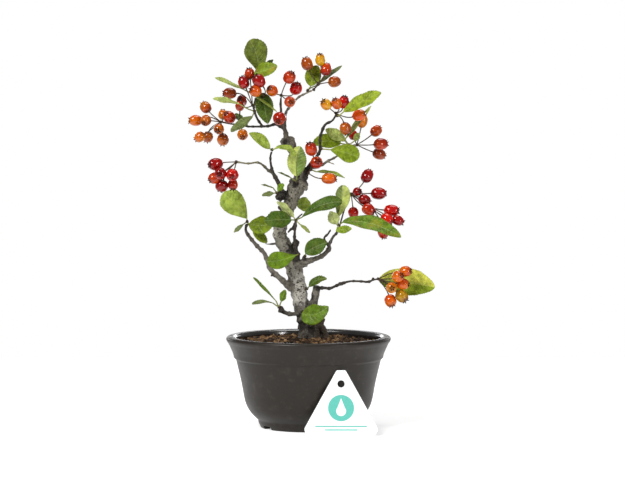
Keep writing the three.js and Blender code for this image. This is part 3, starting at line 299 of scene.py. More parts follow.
LIMBS = {
    "trunk": [
        (1.5, 0, 42, 5.5), (1.5, 0, 58, 8.3), (1.5, 0, 67, 8.7), (0.2, 0, 74.5, 7.8), (-1.6, 0, 81, 7),
        (-4.3, 0.5, 88, 6.3), (-6.2, 1, 95.7, 5.9), (-7.5, 1.5, 103, 6.3), (-9.6, 2, 113, 6.2),
        (-11, 2, 120, 6.2), (-13, 1.5, 128, 6.6), (-16.5, 1, 134, 5.9), (-20.3, 0, 141, 5.2),
        (-21.6, -0.5, 147, 5), (-19.4, -1, 155, 4.9), (-16.2, -0.5, 162, 4.9), (-13.4, 0, 168.5, 5.1),
        (-11.6, 0.5, 175, 5.8), (-9, 1, 180.5, 6.5), (-7.4, 1.5, 186, 6.2),
    ],
    "leader": [
        (-6, 2, 182, 4.6), (-6.4, 2, 191, 4.3), (-7.2, 2.5, 197, 4.1), (-9.8, 3, 204.5, 3.6),
        (-12, 3.5, 210, 3.4), (-13.4, 4, 215.5, 3.3), (-13.1, 4, 218.3, 2.9),
    ],
    "top_twig": [
        (-12, 3, 206, 2.4), (-16.1, 2, 213.4, 2.3), (-17.2, 1, 221.7, 1.8), (-19.1, 0, 226.2, 1.6),
        (-20.3, -2, 232.2, 1.3), (-20.6, -3, 238.2, 1.2), (-20.9, -4, 243, 1), (-20.6, -4, 247.6, 0.9),
    ],
    "top_right_twig": [
        (-18, 1, 223.5, 1.5), (-17.6, 1, 229.2, 1.2), (-16.9, 3, 236, 1.1), (-14.6, 5, 239.7, 1.1),
        (-9.4, 8, 245.7, 1), (-6.4, 10, 248.3, 1), (-2.6, 12, 250.2, 0.9), (2.6, 14, 252.8, 0.9),
    ],
    "left_top_twig": [
        (-18, 1, 224, 1.5), (-24.4, 5, 227.3, 1.2), (-29.6, 9, 226.2, 1.2), (-34.9, 13, 225.8, 1.1),
        (-45.4, 20, 225.8, 0.9), (-49.9, 23, 227, 0.9),
    ],
    "top_spur": [
        (-34.5, 12.5, 226, 1.1), (-38.6, 10, 232.2, 1.1), (-40.9, 6, 239.7, 1), (-39.4, 2, 247.2, 0.9),
    ],
    "left_middle": [
        (-15, 0, 171.5, 2.4), (-20.5, 2, 178, 2.2), (-22.1, 2, 182.7, 1.8), (-26.6, 2, 191, 1.5),
    ],
    "left_fork_up": [
        (-26.2, 2, 190.4, 1.3), (-28.1, 0, 197, 1.1), (-28.5, -2, 203, 1), (-27.6, -3, 207, 1),
    ],
    "left_fork_out": [
        (-26.2, 2, 190.4, 1.3), (-30.4, 2, 193.2, 1.2), (-33.4, 0, 196.2, 1.1), (-37.9, -3, 198.8, 1),
        (-45.4, -7, 198.1, 0.9), (-53.6, -10, 199.2, 0.9),
    ],
    "left_broken_stub": [(-15, -1, 161.5, 2.2), (-19.6, -1.5, 163.6, 1.7), (-22.9, -2, 166, 1.1)],
    "right_upper": [
        (-4, 2, 186, 2.6), (-0.8, 2, 191.7, 1.9), (1.1, 3, 197, 1.6), (6.4, 5, 203.7, 1.4),
        (8.6, 6, 208.2, 1.3), (8.6, 5, 215.7, 1.2), (9.4, 4, 220.2, 1.2), (12.4, 2, 227, 1.2),
        (17.6, -1, 230, 1), (20.6, -4, 234.2, 0.9),
    ],
    "right_side": [
        (0.6, 2.6, 194.7, 1.3), (5, 5, 195, 1.2), (10.1, 8, 197, 1.2), (14.6, 10, 200, 1.1),
        (19.1, 13, 202.2, 1), (25.9, 16.5, 206.7, 1), (30.4, 19.4, 210.6, 1.1), (35.5, 22, 212, 0.9),
    ],
    "whisker": [(13.8, 9.6, 199.6, 0.8), (19.9, 9, 197.3, 0.5)],
    "left_low": [
        (-12.4, 1, 103.5, 3), (-19.1, 0, 110, 2.3), (-24.4, 1, 114.5, 2.1), (-28.6, 3, 119, 2),
        (-31.1, 6, 125.7, 1.8), (-33.4, 8, 131, 1.7), (-37.9, 11, 135.5, 1.6), (-42.4, 13, 140.7, 1.5),
        (-46.9, 15, 147.5, 1.3), (-46.2, 16, 153, 1.1),
    ],
    "left_low_nub": [(-26, 1.5, 116, 1.3), (-28.4, 0.2, 113.2, 0.8)],
    "front_spur": [
        (-8, -2, 128, 2.2), (-9.4, -6, 133.2, 1.7), (-10.5, -8, 140.7, 1.3), (-10.1, -9, 149.7, 1.1),
        (-9.6, -9.5, 155, 1.1),
    ],
    "front_twig": [(-9.6, -9.5, 153.5, 1), (-8.2, -10, 157.2, 0.9), (-4.3, -10.5, 160.6, 0.8)],
    "front_twig_low": [(-10.2, -8.8, 148.4, 1.1), (-12.8, -9.3, 149, 1.05), (-15.6, -10, 146, 0.9)],
    "thorn_left": [
        (-20.5, -1, 139, 1.8), (-25.9, -2, 137.8, 1), (-31.1, -3, 137.6, 0.6), (-33.4, -3, 138.3, 0.5),
    ],
    "right_middle": [
        (-7, 1, 121.5, 3), (0.8, -1, 125, 2.2), (10.1, -4, 128.7, 1.8), (15.4, -6, 134, 1.8),
        (15.6, -7, 137, 1.3), (18.4, -9, 143, 1.2), (21.2, -10, 146, 1.1), (22.1, -11, 150.5, 1),
    ],
    "right_middle_twig": [
        (15.4, -6.4, 135.2, 1.2), (11.8, -7, 141.8, 1), (14.6, -8, 145.2, 0.95), (16.7, -8.5, 148.6, 0.9),
    ],
    "right_stub": [(-1, -1, 83, 4.2), (3, -2, 91, 3.3), (5, -3, 99, 3), (6.6, -3.5, 106.5, 2.7)],
    "right_long": [
        (6.4, -4, 104.6, 1.5), (12.4, -8, 104.6, 1.3), (16.1, -10, 104.3, 1.3), (20.6, -13, 106.2, 1.2),
        (24.4, -15, 107.7, 1.3), (31.1, -19, 109.6, 1), (38.6, -22, 109.6, 1), (44.6, -25, 109.2, 1.1),
        (47.8, -26, 110.3, 0.9), (51.5, -28, 111.4, 0.9),
    ],
    "low_left": [
        (-4, -2, 86, 2.6), (-9, -5, 85.3, 1.8), (-14, -8, 85, 1.7), (-19, -10, 86.7, 1.7),
        (-22.1, -12, 89, 1.5),
    ],
    "root_right": [
        (4, -2, 76, 4), (9, -3, 75.5, 2.8), (11.6, -4, 71.5, 2.6), (14, -5, 64, 2.2), (16, -6, 56, 1.6),
    ],
    "root_knob": [(7, -2, 75, 2.8), (9.6, -2.5, 78.4, 2), (12.2, -3, 81.6, 1.2)],
    "root_front_left": [
        (-1, -3, 74, 4.2), (-4.4, -7.5, 68, 3.2), (-8, -12, 61, 2.2), (-10, -15, 54, 1.5),
    ],
    "root_back_left": [(-2, 3, 74, 4.2), (-6, 7, 67.5, 3), (-11, 11, 60, 2), (-14, 13, 54, 1.4)],
    "root_back_right": [(4, 4, 74, 4.2), (8, 9, 67.5, 3), (12, 13, 60, 2), (15, 15, 54, 1.4)],
}

# Swellings of the wood: place and radii
KNOTS = [
    ((-21.2, -0.8, 173.4), (3.1, 3, 4)),
    ((-19.1, 1, 214.2), (1.9, 1.9, 2.2)),
    ((-3.2, 0, 181.5), (2.6, 3, 3.4)),
    ((-9.8, -3.6, 137.6), (2.6, 2.4, 3.2)),
    ((-2.8, -1.6, 124.8), (3.2, 3.2, 3.4)),
    ((-10.1, -9, 151.2), (1.8, 1.8, 2)),
    ((-20.4, -11, 88.3), (2.2, 2.1, 2.3)),
    ((24.2, -15, 107.7), (1.7, 1.6, 1.6)),
]

# Hollows and dark marks in the bark, most of them painted shade in crotches and under limbs and stubs:
# place, radius, depth, share of dark
BARK_MARKS = [
    # The hollow at the trunk's top, painted dark as the shade inside it
    ((-10, -4.6, 182.8), 4.4, 2.8, 1),
    ((-13.8, -5.2, 137), 3.6, 0.9, 0.9),
    ((-15.6, -5.4, 132.4), 2.4, 0.5, 0.8),
    ((-3, -5.6, 126.5), 3.4, 0.7, 0.95),
    ((-7.4, -6.2, 120.6), 2.6, 0.4, 0.75),
    ((-5, -5.6, 117.4), 1.7, 0.3, 0.8),
    ((-21.4, -3, 171.5), 3.6, 0.8, 0.5),
    ((-18.6, -5, 163.2), 3.4, 0.5, 0.8),
    ((-12.4, -6, 176), 1.8, 0.3, 0.8),
    ((-15.4, -5.4, 170.4), 1.5, 0.3, 0.7),
    # Painted shade in the crotch between the trunk and the right stub
    ((2.2, -3.4, 98), 4.6, 0.4, 0.9),
    ((-4.6, -6, 76), 7.5, 0, 0.75),
    ((2, -7, 73), 5.5, 0, 0.75),
    ((-5.6, -5, 85), 4.4, 0, 0.55),
    ((-17.6, 0, 214.4), 4, 0.3, 0.8),
]


def tip_of(limb):
    """A place just past a limb's end, as it is sighted."""
    before, last = (np.array(point[:3], dtype=float) for point in LIMBS[limb][-2:])
    return (last + unit(last - before) * 1.5).tolist()


# Each spray: the seat that it grows from, and its leaves. A row has a value for each of LEAF_KEYS, then what
# else sets the leaf apart: the stops of its stalk (via), its sag and fold, other looks, its stain
LEAF_KEYS = ("base", "tip", "width", "face", "look", "form")
SPRAYS = {
    "leaves_top": (tip_of("top_spur"), [
        ((-37.9, -1, 266.7), (-44, -4, 290.4), 18.4, (0.1, -1, 0.15), "olive", "spoon",
         {"via": [(-38.5, 1, 257)], "sag": (2.2, 0, 0)}),
        ((-36, 3, 266), (-26.3, 6, 275.7), 6, (0.2, -0.5, 1), "dark", "narrow", {"via": [(-37.5, 3, 257)]}),
        ((-40.4, -6.8, 266), (-23.3, -9, 271.2), 13, (-0.2, -0.9, 0.4), "bright", "oval",
         {"via": [(-39.8, -2, 256)], "sag": (0, 0, -0.8), "fold": 20, "stain": 0.45}),
        ((-47.6, -2, 253.2), (-70.1, -7, 262.2), 9, (0.3, -0.35, 1), "pale", "narrow"),
        ((-34.9, -3.5, 251), (-30.4, -5, 227.7), 14, (0, -1, 0.1), "dark", "ovate",
         {"via": [(-37.2, -1, 251)]}),
        ((-41.6, -6.5, 249.6), (-23.6, -10, 236.7), 7, (0.7, -0.2, 0.7), "light", "narrow"),
    ]),
    "leaves_upper_left": ((-40.4, 5.2, 237.2), [
        ((-51.4, -1, 242.7), (-71.6, -3, 246.5), 8, (0.1, -0.5, 1), "pale", "narrow",
         {"via": [(-45.5, 2, 239)]}),
        ((-41.8, 3, 233.5), (-58.1, -2, 221.7), 10, (-0.5, -0.7, 0.6), "grey", "oval"),
    ]),
    "leaf_upper_left_small": ((-46.6, 20, 227), [
        ((-49.4, 25.8, 229.4), (-55, 29, 235.6), 6.4, (0.4, -0.8, 0.4), "dark", "oval"),
    ]),
    "leaves_left_fork": (tip_of("left_fork_up"), [
        ((-29, -5, 209), (-44.6, -8, 220.6), 9, (-0.4, -0.7, 0.6), "light", "oval",
         {"sag": (0.6, 0, 0.9), "fold": 20}),
        ((-25.5, -8, 209), (-9.4, -15, 203), 9.4, (0.3, -0.6, 1), "light", "oval", {"sag": (0.5, -1, 3.4)}),
    ]),
    "leaves_trunk_top": ((-9, -4.9, 184.5), [
        ((-8.6, -7, 188.5), (-6.4, -7.5, 211.2), 14.6, (0, 1, 0.1), "deep", "oval",
         {"sag": (-1.2, 0, 0), "fold": 6, "right_look": "yellow"}),
        ((-13.2, -7, 187.6), (-23.2, -8, 191.6), 4.6, (0.4, -0.3, 0.9), "dark", "narrow"),
    ]),
    "leaf_centre_right": ((1.9, 1.6, 193.4), [
        ((5.4, 2, 192), (27.4, 4, 187.2), 7, (0, -0.5, 0.9), "light", "narrow", {"sag": (0, 0, 1)}),
    ]),
    "leaves_top_right": ((-0.6, 12.9, 252.7), [
        # The first leaf's bright look is painted light, brightening a leaf that lies in the shade of the
        # berries.
        ((1.8, 15.3, 255.8), (7.1, 17, 271.2), 12.6, (0, -1, 0.2), "bright", "oval", {"sag": (-1, 0, 0)}),
        ((4.8, 18.4, 256), (25.1, 22, 271.2), 7, (-0.6, -0.5, 0.7), "grey", "narrow",
         {"via": [(1.6, 16, 254.5)]}),
    ]),
    "leaf_right_long": ((21.4, -5.4, 233.8), [
        ((26, -11, 236.8), (54.4, -17, 251), 13, (-0.3, -0.75, 0.6), "yellow", "oval",
         {"via": [(23.4, -8.6, 234.4)], "sag": (0, 0, 0.6)}),
    ]),
    "leaves_right_upper": ((30.2, 18, 212), [
        ((26.6, 11, 215.2), (46.9, 8, 241.2), 8, (-0.75, -0.5, 0.5), "pale", "narrow",
         {"via": [(28.8, 15, 213)]}),
        ((28.2, 15.4, 215.3), (12.7, 12, 223.6), 10.4, (0.2, -0.75, 0.6), "pale", "oval", {"fold": 6}),
        ((24.4, 14, 213), (3.4, 10, 213.2), 12, (0, -0.9, 0.4), "bright", "oval", {"sag": (0, 0, 1.6)}),
        ((34.5, 20, 214.8), (37.9, 20, 221), 5.5, (-0.3, -0.8, 0.3), "pale", "oval"),
    ]),
    "leaf_right_front": ((9.6, 4.4, 209), [
        ((16.2, 3, 208.4), (37.9, 4, 202.6), 14.4, (0, -1, 0.2), "bright", "spoon", {"sag": (0, 0, 0.8)}),
    ]),
    "leaves_left_knob": ((-23.8, -2.6, 176), [
        ((-26, -3, 179.8), (-35.6, -4, 182.3), 4, (0, -0.3, 1), "grey", "narrow"),
        ((-26, -4, 176), (-34.9, -6, 173.9), 6.2, (0, -0.6, 0.8), "grey", "oval"),
        ((-23, -5, 177.4), (-18.4, -6, 182.8), 6.4, (-0.5, -0.7, 0.5), "green", "oval"),
    ]),
    "leaves_middle": ((-9.6, -9.6, 155.6), [
        ((-10.9, -10, 157.9), (-23.8, -8, 169.5), 9.4, (0.5, 0.6, 0.6), "pale", "oval", {"fold": 8}),
        ((-12.8, -12, 155.8), (-33, -15, 154.8), 14.8, (0, -0.9, 0.45), "deep", "oval",
         {"sag": (0, -1, 0.6)}),
        ((-6.6, -11.4, 152.8), (1.1, -13, 146), 4.6, (0.5, -0.5, 0.8), "pale", "oval"),
        ((-5.4, -13, 157.4), (25.5, -20, 169.2), 11.4, (-0.3, -0.8, 0.5), "deep", "spoon",
         {"sag": (-1, -1, 3.2)}),
    ]),
    "leaf_behind_trunk": ((-9.2, 3.6, 167.5), [
        # Its light look is painted light, brightening a leaf that lies in the shade of the trunk and another
        # leaf.
        ((-9, 6, 167), (1.8, 8, 167.8), 11.6, (0, -1, 0.4), "light", "oval"),
    ]),
    "leaves_left": (tip_of("left_low"), [
        ((-46, 15.5, 156.6), (-64.1, 20, 176), 18.4, (0.1, -1, 0.1), "light", "spoon",
         {"sag": (0.6, 0, 0.3), "fold": 6}),
        ((-48.4, 13.6, 153), (-55.9, 12, 146.3), 4, (0.3, -0.4, 0.8), "grey", "narrow"),
        ((-44.6, 14, 152.8), (-26.5, 9, 153.4), 15, (0, -0.9, 0.4), "bright", "oval", {"sag": (0, 0, -1.6)}),
        ((-41.6, 16, 148.6), (-31.1, 14, 138.5), 8, (0.2, -0.9, 0.3), "bright", "oval",
         {"via": [(-44.4, 17, 151.4)]}),
    ]),
    "leaf_front_middle": ((-7.2, -5.6, 130), [
        ((-9.4, -9.5, 129.4), (-31.1, -14, 124.6), 14.6, (0, -0.85, 0.5), "green", "spoon",
         {"sag": (0, -1, -1.4)}),
    ]),
    "leaf_right_round": ((-2.6, -4.6, 128.6), [
        ((-2.4, -8, 130.4), (13.9, -11, 138.8), 13.4, (0, -0.9, 0.4), "deep", "oval",
         {"sag": (-0.5, 0, 0.8)}),
    ]),
    "leaves_right": (tip_of("right_middle"), [
        ((21.6, -12.5, 157), (25.9, -12, 182), 12.4, (0.3, 0.9, 0.2), "yellow", "spoon",
         {"sag": (0.8, 0, 0), "fold": 20, "right_look": "dark"}),
        ((20.6, -13.4, 152.4), (16.3, -14.6, 162.4), 9.6, (0.2, 0.9, 0.3), "pale", "ovate"),
        ((20.4, -16.4, 147.8), (32.4, -18, 149.3), 6.4, (0, -0.9, 0.4), "bright", "oval"),
        ((25.4, -14, 154.2), (69.4, -27, 142.6), 13.5, (0.1, -0.75, 0.65), "green", "oval",
         {"sag": (0, 0, 4.2), "stain": 0.26}),
    ]),
    "leaves_low_left": ((-22.2, -12.2, 90), [
        ((-24, -14, 94.6), (-41.6, -19, 112.4), 4.4, (0.6, -0.6, 0.6), "green", "strap"),
        ((-26.2, -14, 93.2), (-42.4, -18, 92.3), 4.6, (0, -0.6, 0.8), "grey", "strap", {"sag": (0, 0, 1.4)}),
        ((-20.6, -14, 94.4), (-17.3, -16, 103.2), 6.4, (-0.4, -0.8, 0.3), "green", "oval"),
    ]),
    "leaf_low_right": ((-1.2, -2.4, 104), [
        ((0.4, -5, 105.6), (13.9, -10, 111.4), 7.2, (0, -0.8, 0.6), "dark", "oval", {"sag": (-0.8, 0, 1.6)}),
    ]),
    "leaf_low_front": ((-3.8, -5.8, 87), [
        ((-5, -9.5, 85.6), (15, -16, 90.8), 16.5, (0, -0.95, 0.3), "green", "ovate", {"sag": (0, -2, -3.2)}),
    ]),
    "leaf_right_end": ((48.6, -25.4, 111.2), [
        ((52.5, -25, 110.9), (94.9, -28, 105.1), 21.4, (0, -0.93, 0.4), "golden", "oval",
         {"sag": (0, 0, 0.8), "fold": 14, "right_look": "bright"}),
    ]),
}

# Each bunch: its seat, the stops of its own stalk, and its berries. A berry: the middle of the fruit, its
# length and width, the way its crown faces, how ripe it is, and where its stalk starts if not at the fork
BUNCHES = {
    "berries_top_left": ((-41.9, 5.4, 241.6), [], [
        ((-44, -1.5, 265), (9, 8), (-0.1, -0.2, 1), "scarlet"),
        ((-48.4, -7, 258.8), (9.8, 8.6), (-0.4, 0, 1), "crimson"),
        ((-37.1, -12.5, 259.9), (10.6, 9.6), (-0.6, -0.3, 0.8), "crimson"),
        ((-39.6, -12, 252.4), (9, 9), (-0.85, -0.5, 0.4), "orange"),
        ((-58.9, 7, 250.6), (10.4, 8.3), (-1, -0.1, 0), "brown"),
        ((-49.9, 16, 245), (9.2, 7.8), (-0.2, -0.7, 0.6), "scarlet"),
    ]),
    "berries_left": ((-50.4, 23.4, 227.4), [(-57, 26, 227.6), (-65.6, 28, 229.2)], [
        ((-76.9, 29, 240.2), (9.5, 8.6), (-0.5, 0.6, 0.6), "olive"),
        ((-84.4, 33, 230.3), (10.4, 8.3), (-1, -0.1, 0), "orange"),
        ((-76.9, 24.5, 230.3), (8.8, 8.3), (-0.3, -0.8, -0.4), "rust"),
        ((-64.1, 35, 234.6), (7.8, 7), (0, 0.3, 1), "amber"),
        ((-59.2, 23, 232.8), (9.6, 9.2), (-0.6, -0.6, 0.6), "scarlet"),
        ((-67.1, 21.5, 223.9), (8.4, 8), (-0.2, -0.9, -0.3), "rust"),
        ((-81.4, 25, 217.9), (8.6, 8), (-0.8, 0.35, -0.5), "amber"),
        ((-75.4, 33.5, 218), (8.4, 8.2), (-0.2, 0.6, -0.9), "rust"),
        ((-64.1, 30, 216.1), (9.4, 9), (0, 0.5, -1), "rust"),
        ((-49.3, 20, 219.6), (8.6, 8.4), (0, -0.9, -0.4), "amber", (-51, 23.6, 227)),
        ((-51.4, 7.5, 241.4), (8.4, 6.8), (0, -0.3, 1), "scarlet", (-51, 23.6, 228)),
    ]),
    "berries_top_centre": (tip_of("top_twig"), [], [
        ((-27.2, -7, 252.6), (9, 8.6), (-0.4, -0.8, 0.4), "orange"),
        ((-14.3, -8, 262.6), (10, 9.2), (0.42, -0.55, 0.7), "scarlet"),
        ((-9.4, -2, 254.3), (10, 9.4), (0.3, -0.6, 0.7), "red"),
        ((-14, -11, 244.2), (8.6, 8.3), (0.2, -0.95, -0.05), "coral"),
        ((-21.8, -9.5, 231.8), (10.6, 9.6), (-0.15, -0.9, -0.4), "scarlet"),
    ]),
    "berries_top_right": (tip_of("top_right_twig"), [(7.6, 13.6, 257.4)], [
        ((-1.1, 9, 272.7), (10.2, 9), (-0.35, 0, 1), "rust"),
        ((8.8, 9.5, 275.7), (10, 7.6), (-0.1, -0.55, 0.9), "yellow"),
        ((13.2, 10, 268.4), (10, 7.8), (0.3, 0.4, 1), "scarlet"),
        ((19.4, 12, 259.2), (9.8, 8.6), (0.9, 0.5, 0.1), "rust"),
    ]),
    "berries_right_upper": ((20.5, -3.4, 235.7), [], [
        ((13.1, -9, 242.3), (9, 8.2), (-0.55, -0.65, 0.6), "yellow"),
        ((21, -10, 242.9), (9, 7.8), (-0.4, -0.6, 0.8), "orange"),
        ((26.4, -1, 244), (10, 8.4), (0.15, -0.4, 0.9), "red"),
        # Painted light: this berry lies in a leaf's shade, and its tone is brightened to make up for it.
        ((37.9, -1, 234.2), (10.8, 8.6), (0.9, -0.4, 0.25), "flame"),
        ((27.7, -2, 224.2), (9.8, 8.6), (0.3, -0.1, -1), "rust"),
    ]),
    "berries_right": ((36.2, 22.4, 212), [], [
        ((50.6, 26, 222.5), (9.6, 8.2), (0.7, 0.4, 0.6), "russet"),
        ((54, 20, 212.7), (11, 9), (1, 0.3, 0.1), "scarlet"),
        ((52.9, 27, 205.2), (10.4, 8.6), (0.9, 0.4, -0.3), "brown"),
        ((40.3, 25, 230), (11, 7.8), (0.2, 0, 1), "amber"),
        ((33.4, 26, 219.5), (8, 7.2), (-0.3, 0.2, 0.9), "crimson"),
    ]),
    "berries_centre": ((-0.3, -0.6, 190.9), [], [
        ((1.9, -9, 209), (11, 9), (-0.25, -0.5, 0.8), "scarlet"),
        ((6, -8, 198.8), (9.6, 9.4), (0.2, -1, 0.3), "scarlet"),
        ((15.4, -5, 186.8), (11.4, 8.4), (1, -0.1, 0), "orange"),
    ]),
    "berries_left_lower": ((-54, -10.2, 199.2), [], [
        ((-69.6, -10, 197.7), (11.8, 9.4), (-0.8, -0.58, -0.12), "crimson"),
        ((-66, -19, 190.5), (9.2, 9.2), (-0.15, -0.95, -0.05), "crimson"),
        ((-70.6, -12, 187.2), (9, 8.8), (-0.8, -0.4, -0.45), "scarlet"),
        ((-65, -10, 181.4), (9.4, 9.6), (-0.3, 0, -1), "crimson"),
        ((-57, -18, 189.5), (9.6, 9.4), (-0.1, -0.95, -0.2), "red"),
        ((-56.6, -11, 182.3), (8.4, 7.6), (0, -0.5, -0.9), "scarlet"),
    ]),
    "berries_right_middle": ((22.6, -9, 148.4), [(24.4, -5, 155), (28, 1, 167), (31.9, 5, 175.2)], [
        ((43.9, 9, 188.7), (11, 9), (0.5, 0.45, 0.85), "crimson"),
        ((36.6, 0, 177), (7.4, 6.6), (0.6, -0.9, 0.1), "crimson"),
        ((52.5, 10, 175.6), (11.8, 9.2), (1, 0, 0), "crimson"),
        ((42, 1.5, 170.9), (9.8, 8.2), (0.7, 0.4, -0.35), "crimson"),
        ((45, -4, 163.6), (10.4, 9), (0.8, -0.3, -0.5), "scarlet"),
        ((33.6, 4, 161.3), (8.6, 7.8), (0.1, 0, -1), "red"),
        ((62.2, 6, 162.8), (11.6, 9), (1, -0.2, -0.05), "red"),
        ((58.8, -2.5, 156.2), (10.6, 8.6), (0.75, -0.5, -0.5), "red"),
        ((67, 1, 155.4), (9.4, 7.6), (0.9, 0, -0.4), "crimson"),
        ((56, 7, 146), (8.8, 8), (0.2, 0, -1), "scarlet"),
    ]),
    "berries_right_end": ((52.2, -28.4, 111.4), [], [
        ((72.7, -37, 117.1), (9.2, 8.2), (0.9, -0.35, 0.1), "orange"),
        ((67.1, -44, 113.2), (9.2, 8.6), (0.6, -0.7, 0.25), "orange"),
        ((71, -39.5, 107.6), (9.2, 8.4), (0.9, -0.3, -0.1), "orange"),
        ((62.4, -42, 104.8), (8.4, 8.2), (0.05, -1, -0.05), "amber"),
        ((70, -38, 98.4), (10.4, 8.8), (0.55, -0.45, -0.6), "straw"),
        ((61.6, -36, 95), (9.6, 9), (0.25, -0.5, -0.75), "orange"),
    ]),
}


# Small helpers


def linear(colour):
    """An 8-bit display colour as linear light."""
    share = np.asarray(colour, dtype=float) / 255
    return np.where(share <= 0.04045, share / 12.92, ((share + 0.055) / 1.055) ** 2.4)


def smoothstep(low, high, value):
    share = np.clip((value - low) / (high - low), 0, 1)
    return share * share * (3 - 2 * share)


def blend(share, first, second):
    return first * (1 - share) + second * share


def bezier(controls, count):
    """Points along a Bezier curve of two or three spans."""
    points = [np.asarray(control, dtype=float) for control in controls]
    order = len(points) - 1
    shares = np.linspace(0, 1, count)[:, None]
    return sum(
        math.comb(order, k) * shares**k * (1 - shares) ** (order - k) * point
        for k, point in enumerate(points)
    )


def smooth_path(stops, step):
    """Catmull-Rom curve through rows of numbers, of which up to the first three are a place."""
    stops = np.asarray(stops, dtype=float)
    padded = np.vstack([2 * stops[0] - stops[1], stops, 2 * stops[-1] - stops[-2]])
    rows = []
    for i in range(1, len(padded) - 2):
        before, start, end, after = padded[i - 1], padded[i], padded[i + 1], padded[i + 2]
        count = max(2, math.ceil(np.linalg.norm((end - start)[:3]) / step))
        for share in np.arange(count) / count:
            rows.append(0.5 * (
                2 * start
                + (end - before) * share
                + (2 * before - 5 * start + 4 * end - after) * share**2
                + (3 * start - before - 3 * end + after) * share**3
            ))
    rows.append(stops[-1])
    return np.array(rows)


def frames_along(points):
    """A side and a rise direction at each point, carried along the path without twist."""
    tangents = np.gradient(points, axis=0)
    tangents /= np.linalg.norm(tangents, axis=1)[:, None]
    start = tangents[0]
    side = np.array([1.0, 0, 0]) if abs(start[2]) > math.hypot(start[0], start[1]) else UP
    sides = []
    for along in tangents:
        side = unit(side - along * side.dot(along))
        sides.append(side)
    sides = np.array(sides)
    return sides, np.cross(sides, tangents)


class Shape:
    """The vertices, faces and paint of one piece, gathered body by body."""

    def __init__(self):
        self.points = []
        self.tints = []
        self.spots = []
        self.faces = []
        self.finish_of_face = []
        self.count = 0

    def add(self, points, faces, finish, tint, spot=(0, 0, 0)):
        """Adds one closed body. tint is a linear colour and spot a vector, for all points or for each."""
        count = len(points)
        self.points.append(np.asarray(points, dtype=float))
        self.tints.append(np.broadcast_to(np.asarray(tint, dtype=float), (count, 3)))
        self.spots.append(np.broadcast_to(np.asarray(spot, dtype=float), (count, 3)))
        self.faces += [tuple(index + self.count for index in face) for face in faces]
        self.finish_of_face += [finish] * len(faces) if isinstance(finish, int) else list(finish)
        self.count += count

    def mesh(self, name, finishes):
        mesh = bpy.data.meshes.new(name)
        points = np.vstack(self.points) * MM
        mesh.from_pydata(points.tolist(), [], self.faces)
        for finish in finishes:
            mesh.materials.append(finish)
        mesh.polygons.foreach_set("material_index", self.finish_of_face)
        mesh.polygons.foreach_set("use_smooth", [True] * len(self.faces))
        paint(mesh, "tint", np.vstack(self.tints))
        paint(mesh, "spot", np.vstack(self.spots))
        mesh.update()
        return mesh


def paint(mesh, name, rows):
    """Keeps three numbers for each vertex: a linear colour as tint, or a place as spot."""
    if name == "tint":
        colours = np.hstack([rows, np.ones((len(rows), 1))])
        mesh.attributes.new(name, "FLOAT_COLOR", "POINT").data.foreach_set("color", colours.ravel())
    else:
        mesh.attributes.new(name, "FLOAT_VECTOR", "POINT").data.foreach_set("vector", rows.ravel())


def stand(name, data):
    """Puts an object in the scene."""
    item = bpy.data.objects.new(name, data)
    bpy.context.scene.collection.objects.link(item)
    return item


def worked_in(item):
    """A new mesh of an object with its modifiers worked in."""
    bpy.context.view_layer.update()
    graph = bpy.context.evaluated_depsgraph_get()
    return bpy.data.meshes.new_from_object(item.evaluated_get(graph))


def place_piece(name, mesh, node):
    """Puts a mesh in the scene as the finished form of one node."""
    piece = stand(name, mesh)
    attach(piece, "root")
    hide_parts(node)
    return piece


def ring_faces(rings, sides, is_closed=False):
    """Faces between each ring of points and the next, and from the last to the first of a closed row."""
    faces = []
    for i in range(rings if is_closed else rings - 1):
        here, after = i * sides, (i + 1) % rings * sides
        for j in range(sides):
            k = (j + 1) % sides
            faces.append((here + j, after + j, after + k, here + k))
    return faces


def capped_faces(rings, sides):
    """Faces of a body of rings, whose two end middles come after the rings' points."""
    faces = ring_faces(rings, sides)
    first, end = rings * sides, (rings - 1) * sides
    for j in range(sides):
        k = (j + 1) % sides
        faces += [(first, j, k), (first + 1, end + k, end + j)]
    return faces


def tube_body(points, radii, sides, squash=1.0, roll=0.0):
    """A closed tube: its points in rings, then the middles of its two ends."""
    side, rise = frames_along(points)
    angles = np.arange(sides) * 2 * math.pi / sides + roll
    around = np.cos(angles)[None, :, None] * side[:, None, :]
    around = around + squash * np.sin(angles)[None, :, None] * rise[:, None, :]
    rings = points[:, None, :] + around * np.asarray(radii)[:, None, None]
    body = np.vstack([rings.reshape(-1, 3), points[:1], points[-1:]])
    return body, capped_faces(len(points), sides)


def lump_body(centre, radii, subdivisions, rough, seed):
    """A rounded lump with an uneven surface."""
    shift = Vector([seed * pace for pace in LUMP_SHIFT])
    ball = bmesh.new()
    bmesh.ops.create_icosphere(ball, subdivisions=subdivisions, radius=1)
    points = []
    for vertex in ball.verts:
        swell = 1 + rough * noise.noise(vertex.co * LUMP_FINENESS + shift)
        points.append(np.array(vertex.co) * swell * np.asarray(radii) + centre)
    faces = [tuple(vertex.index for vertex in face.verts) for face in ball.faces]
    ball.free()
    return np.array(points), faces


# Finishes


def rgba(colour):
    return (*linear(colour), 1.0)


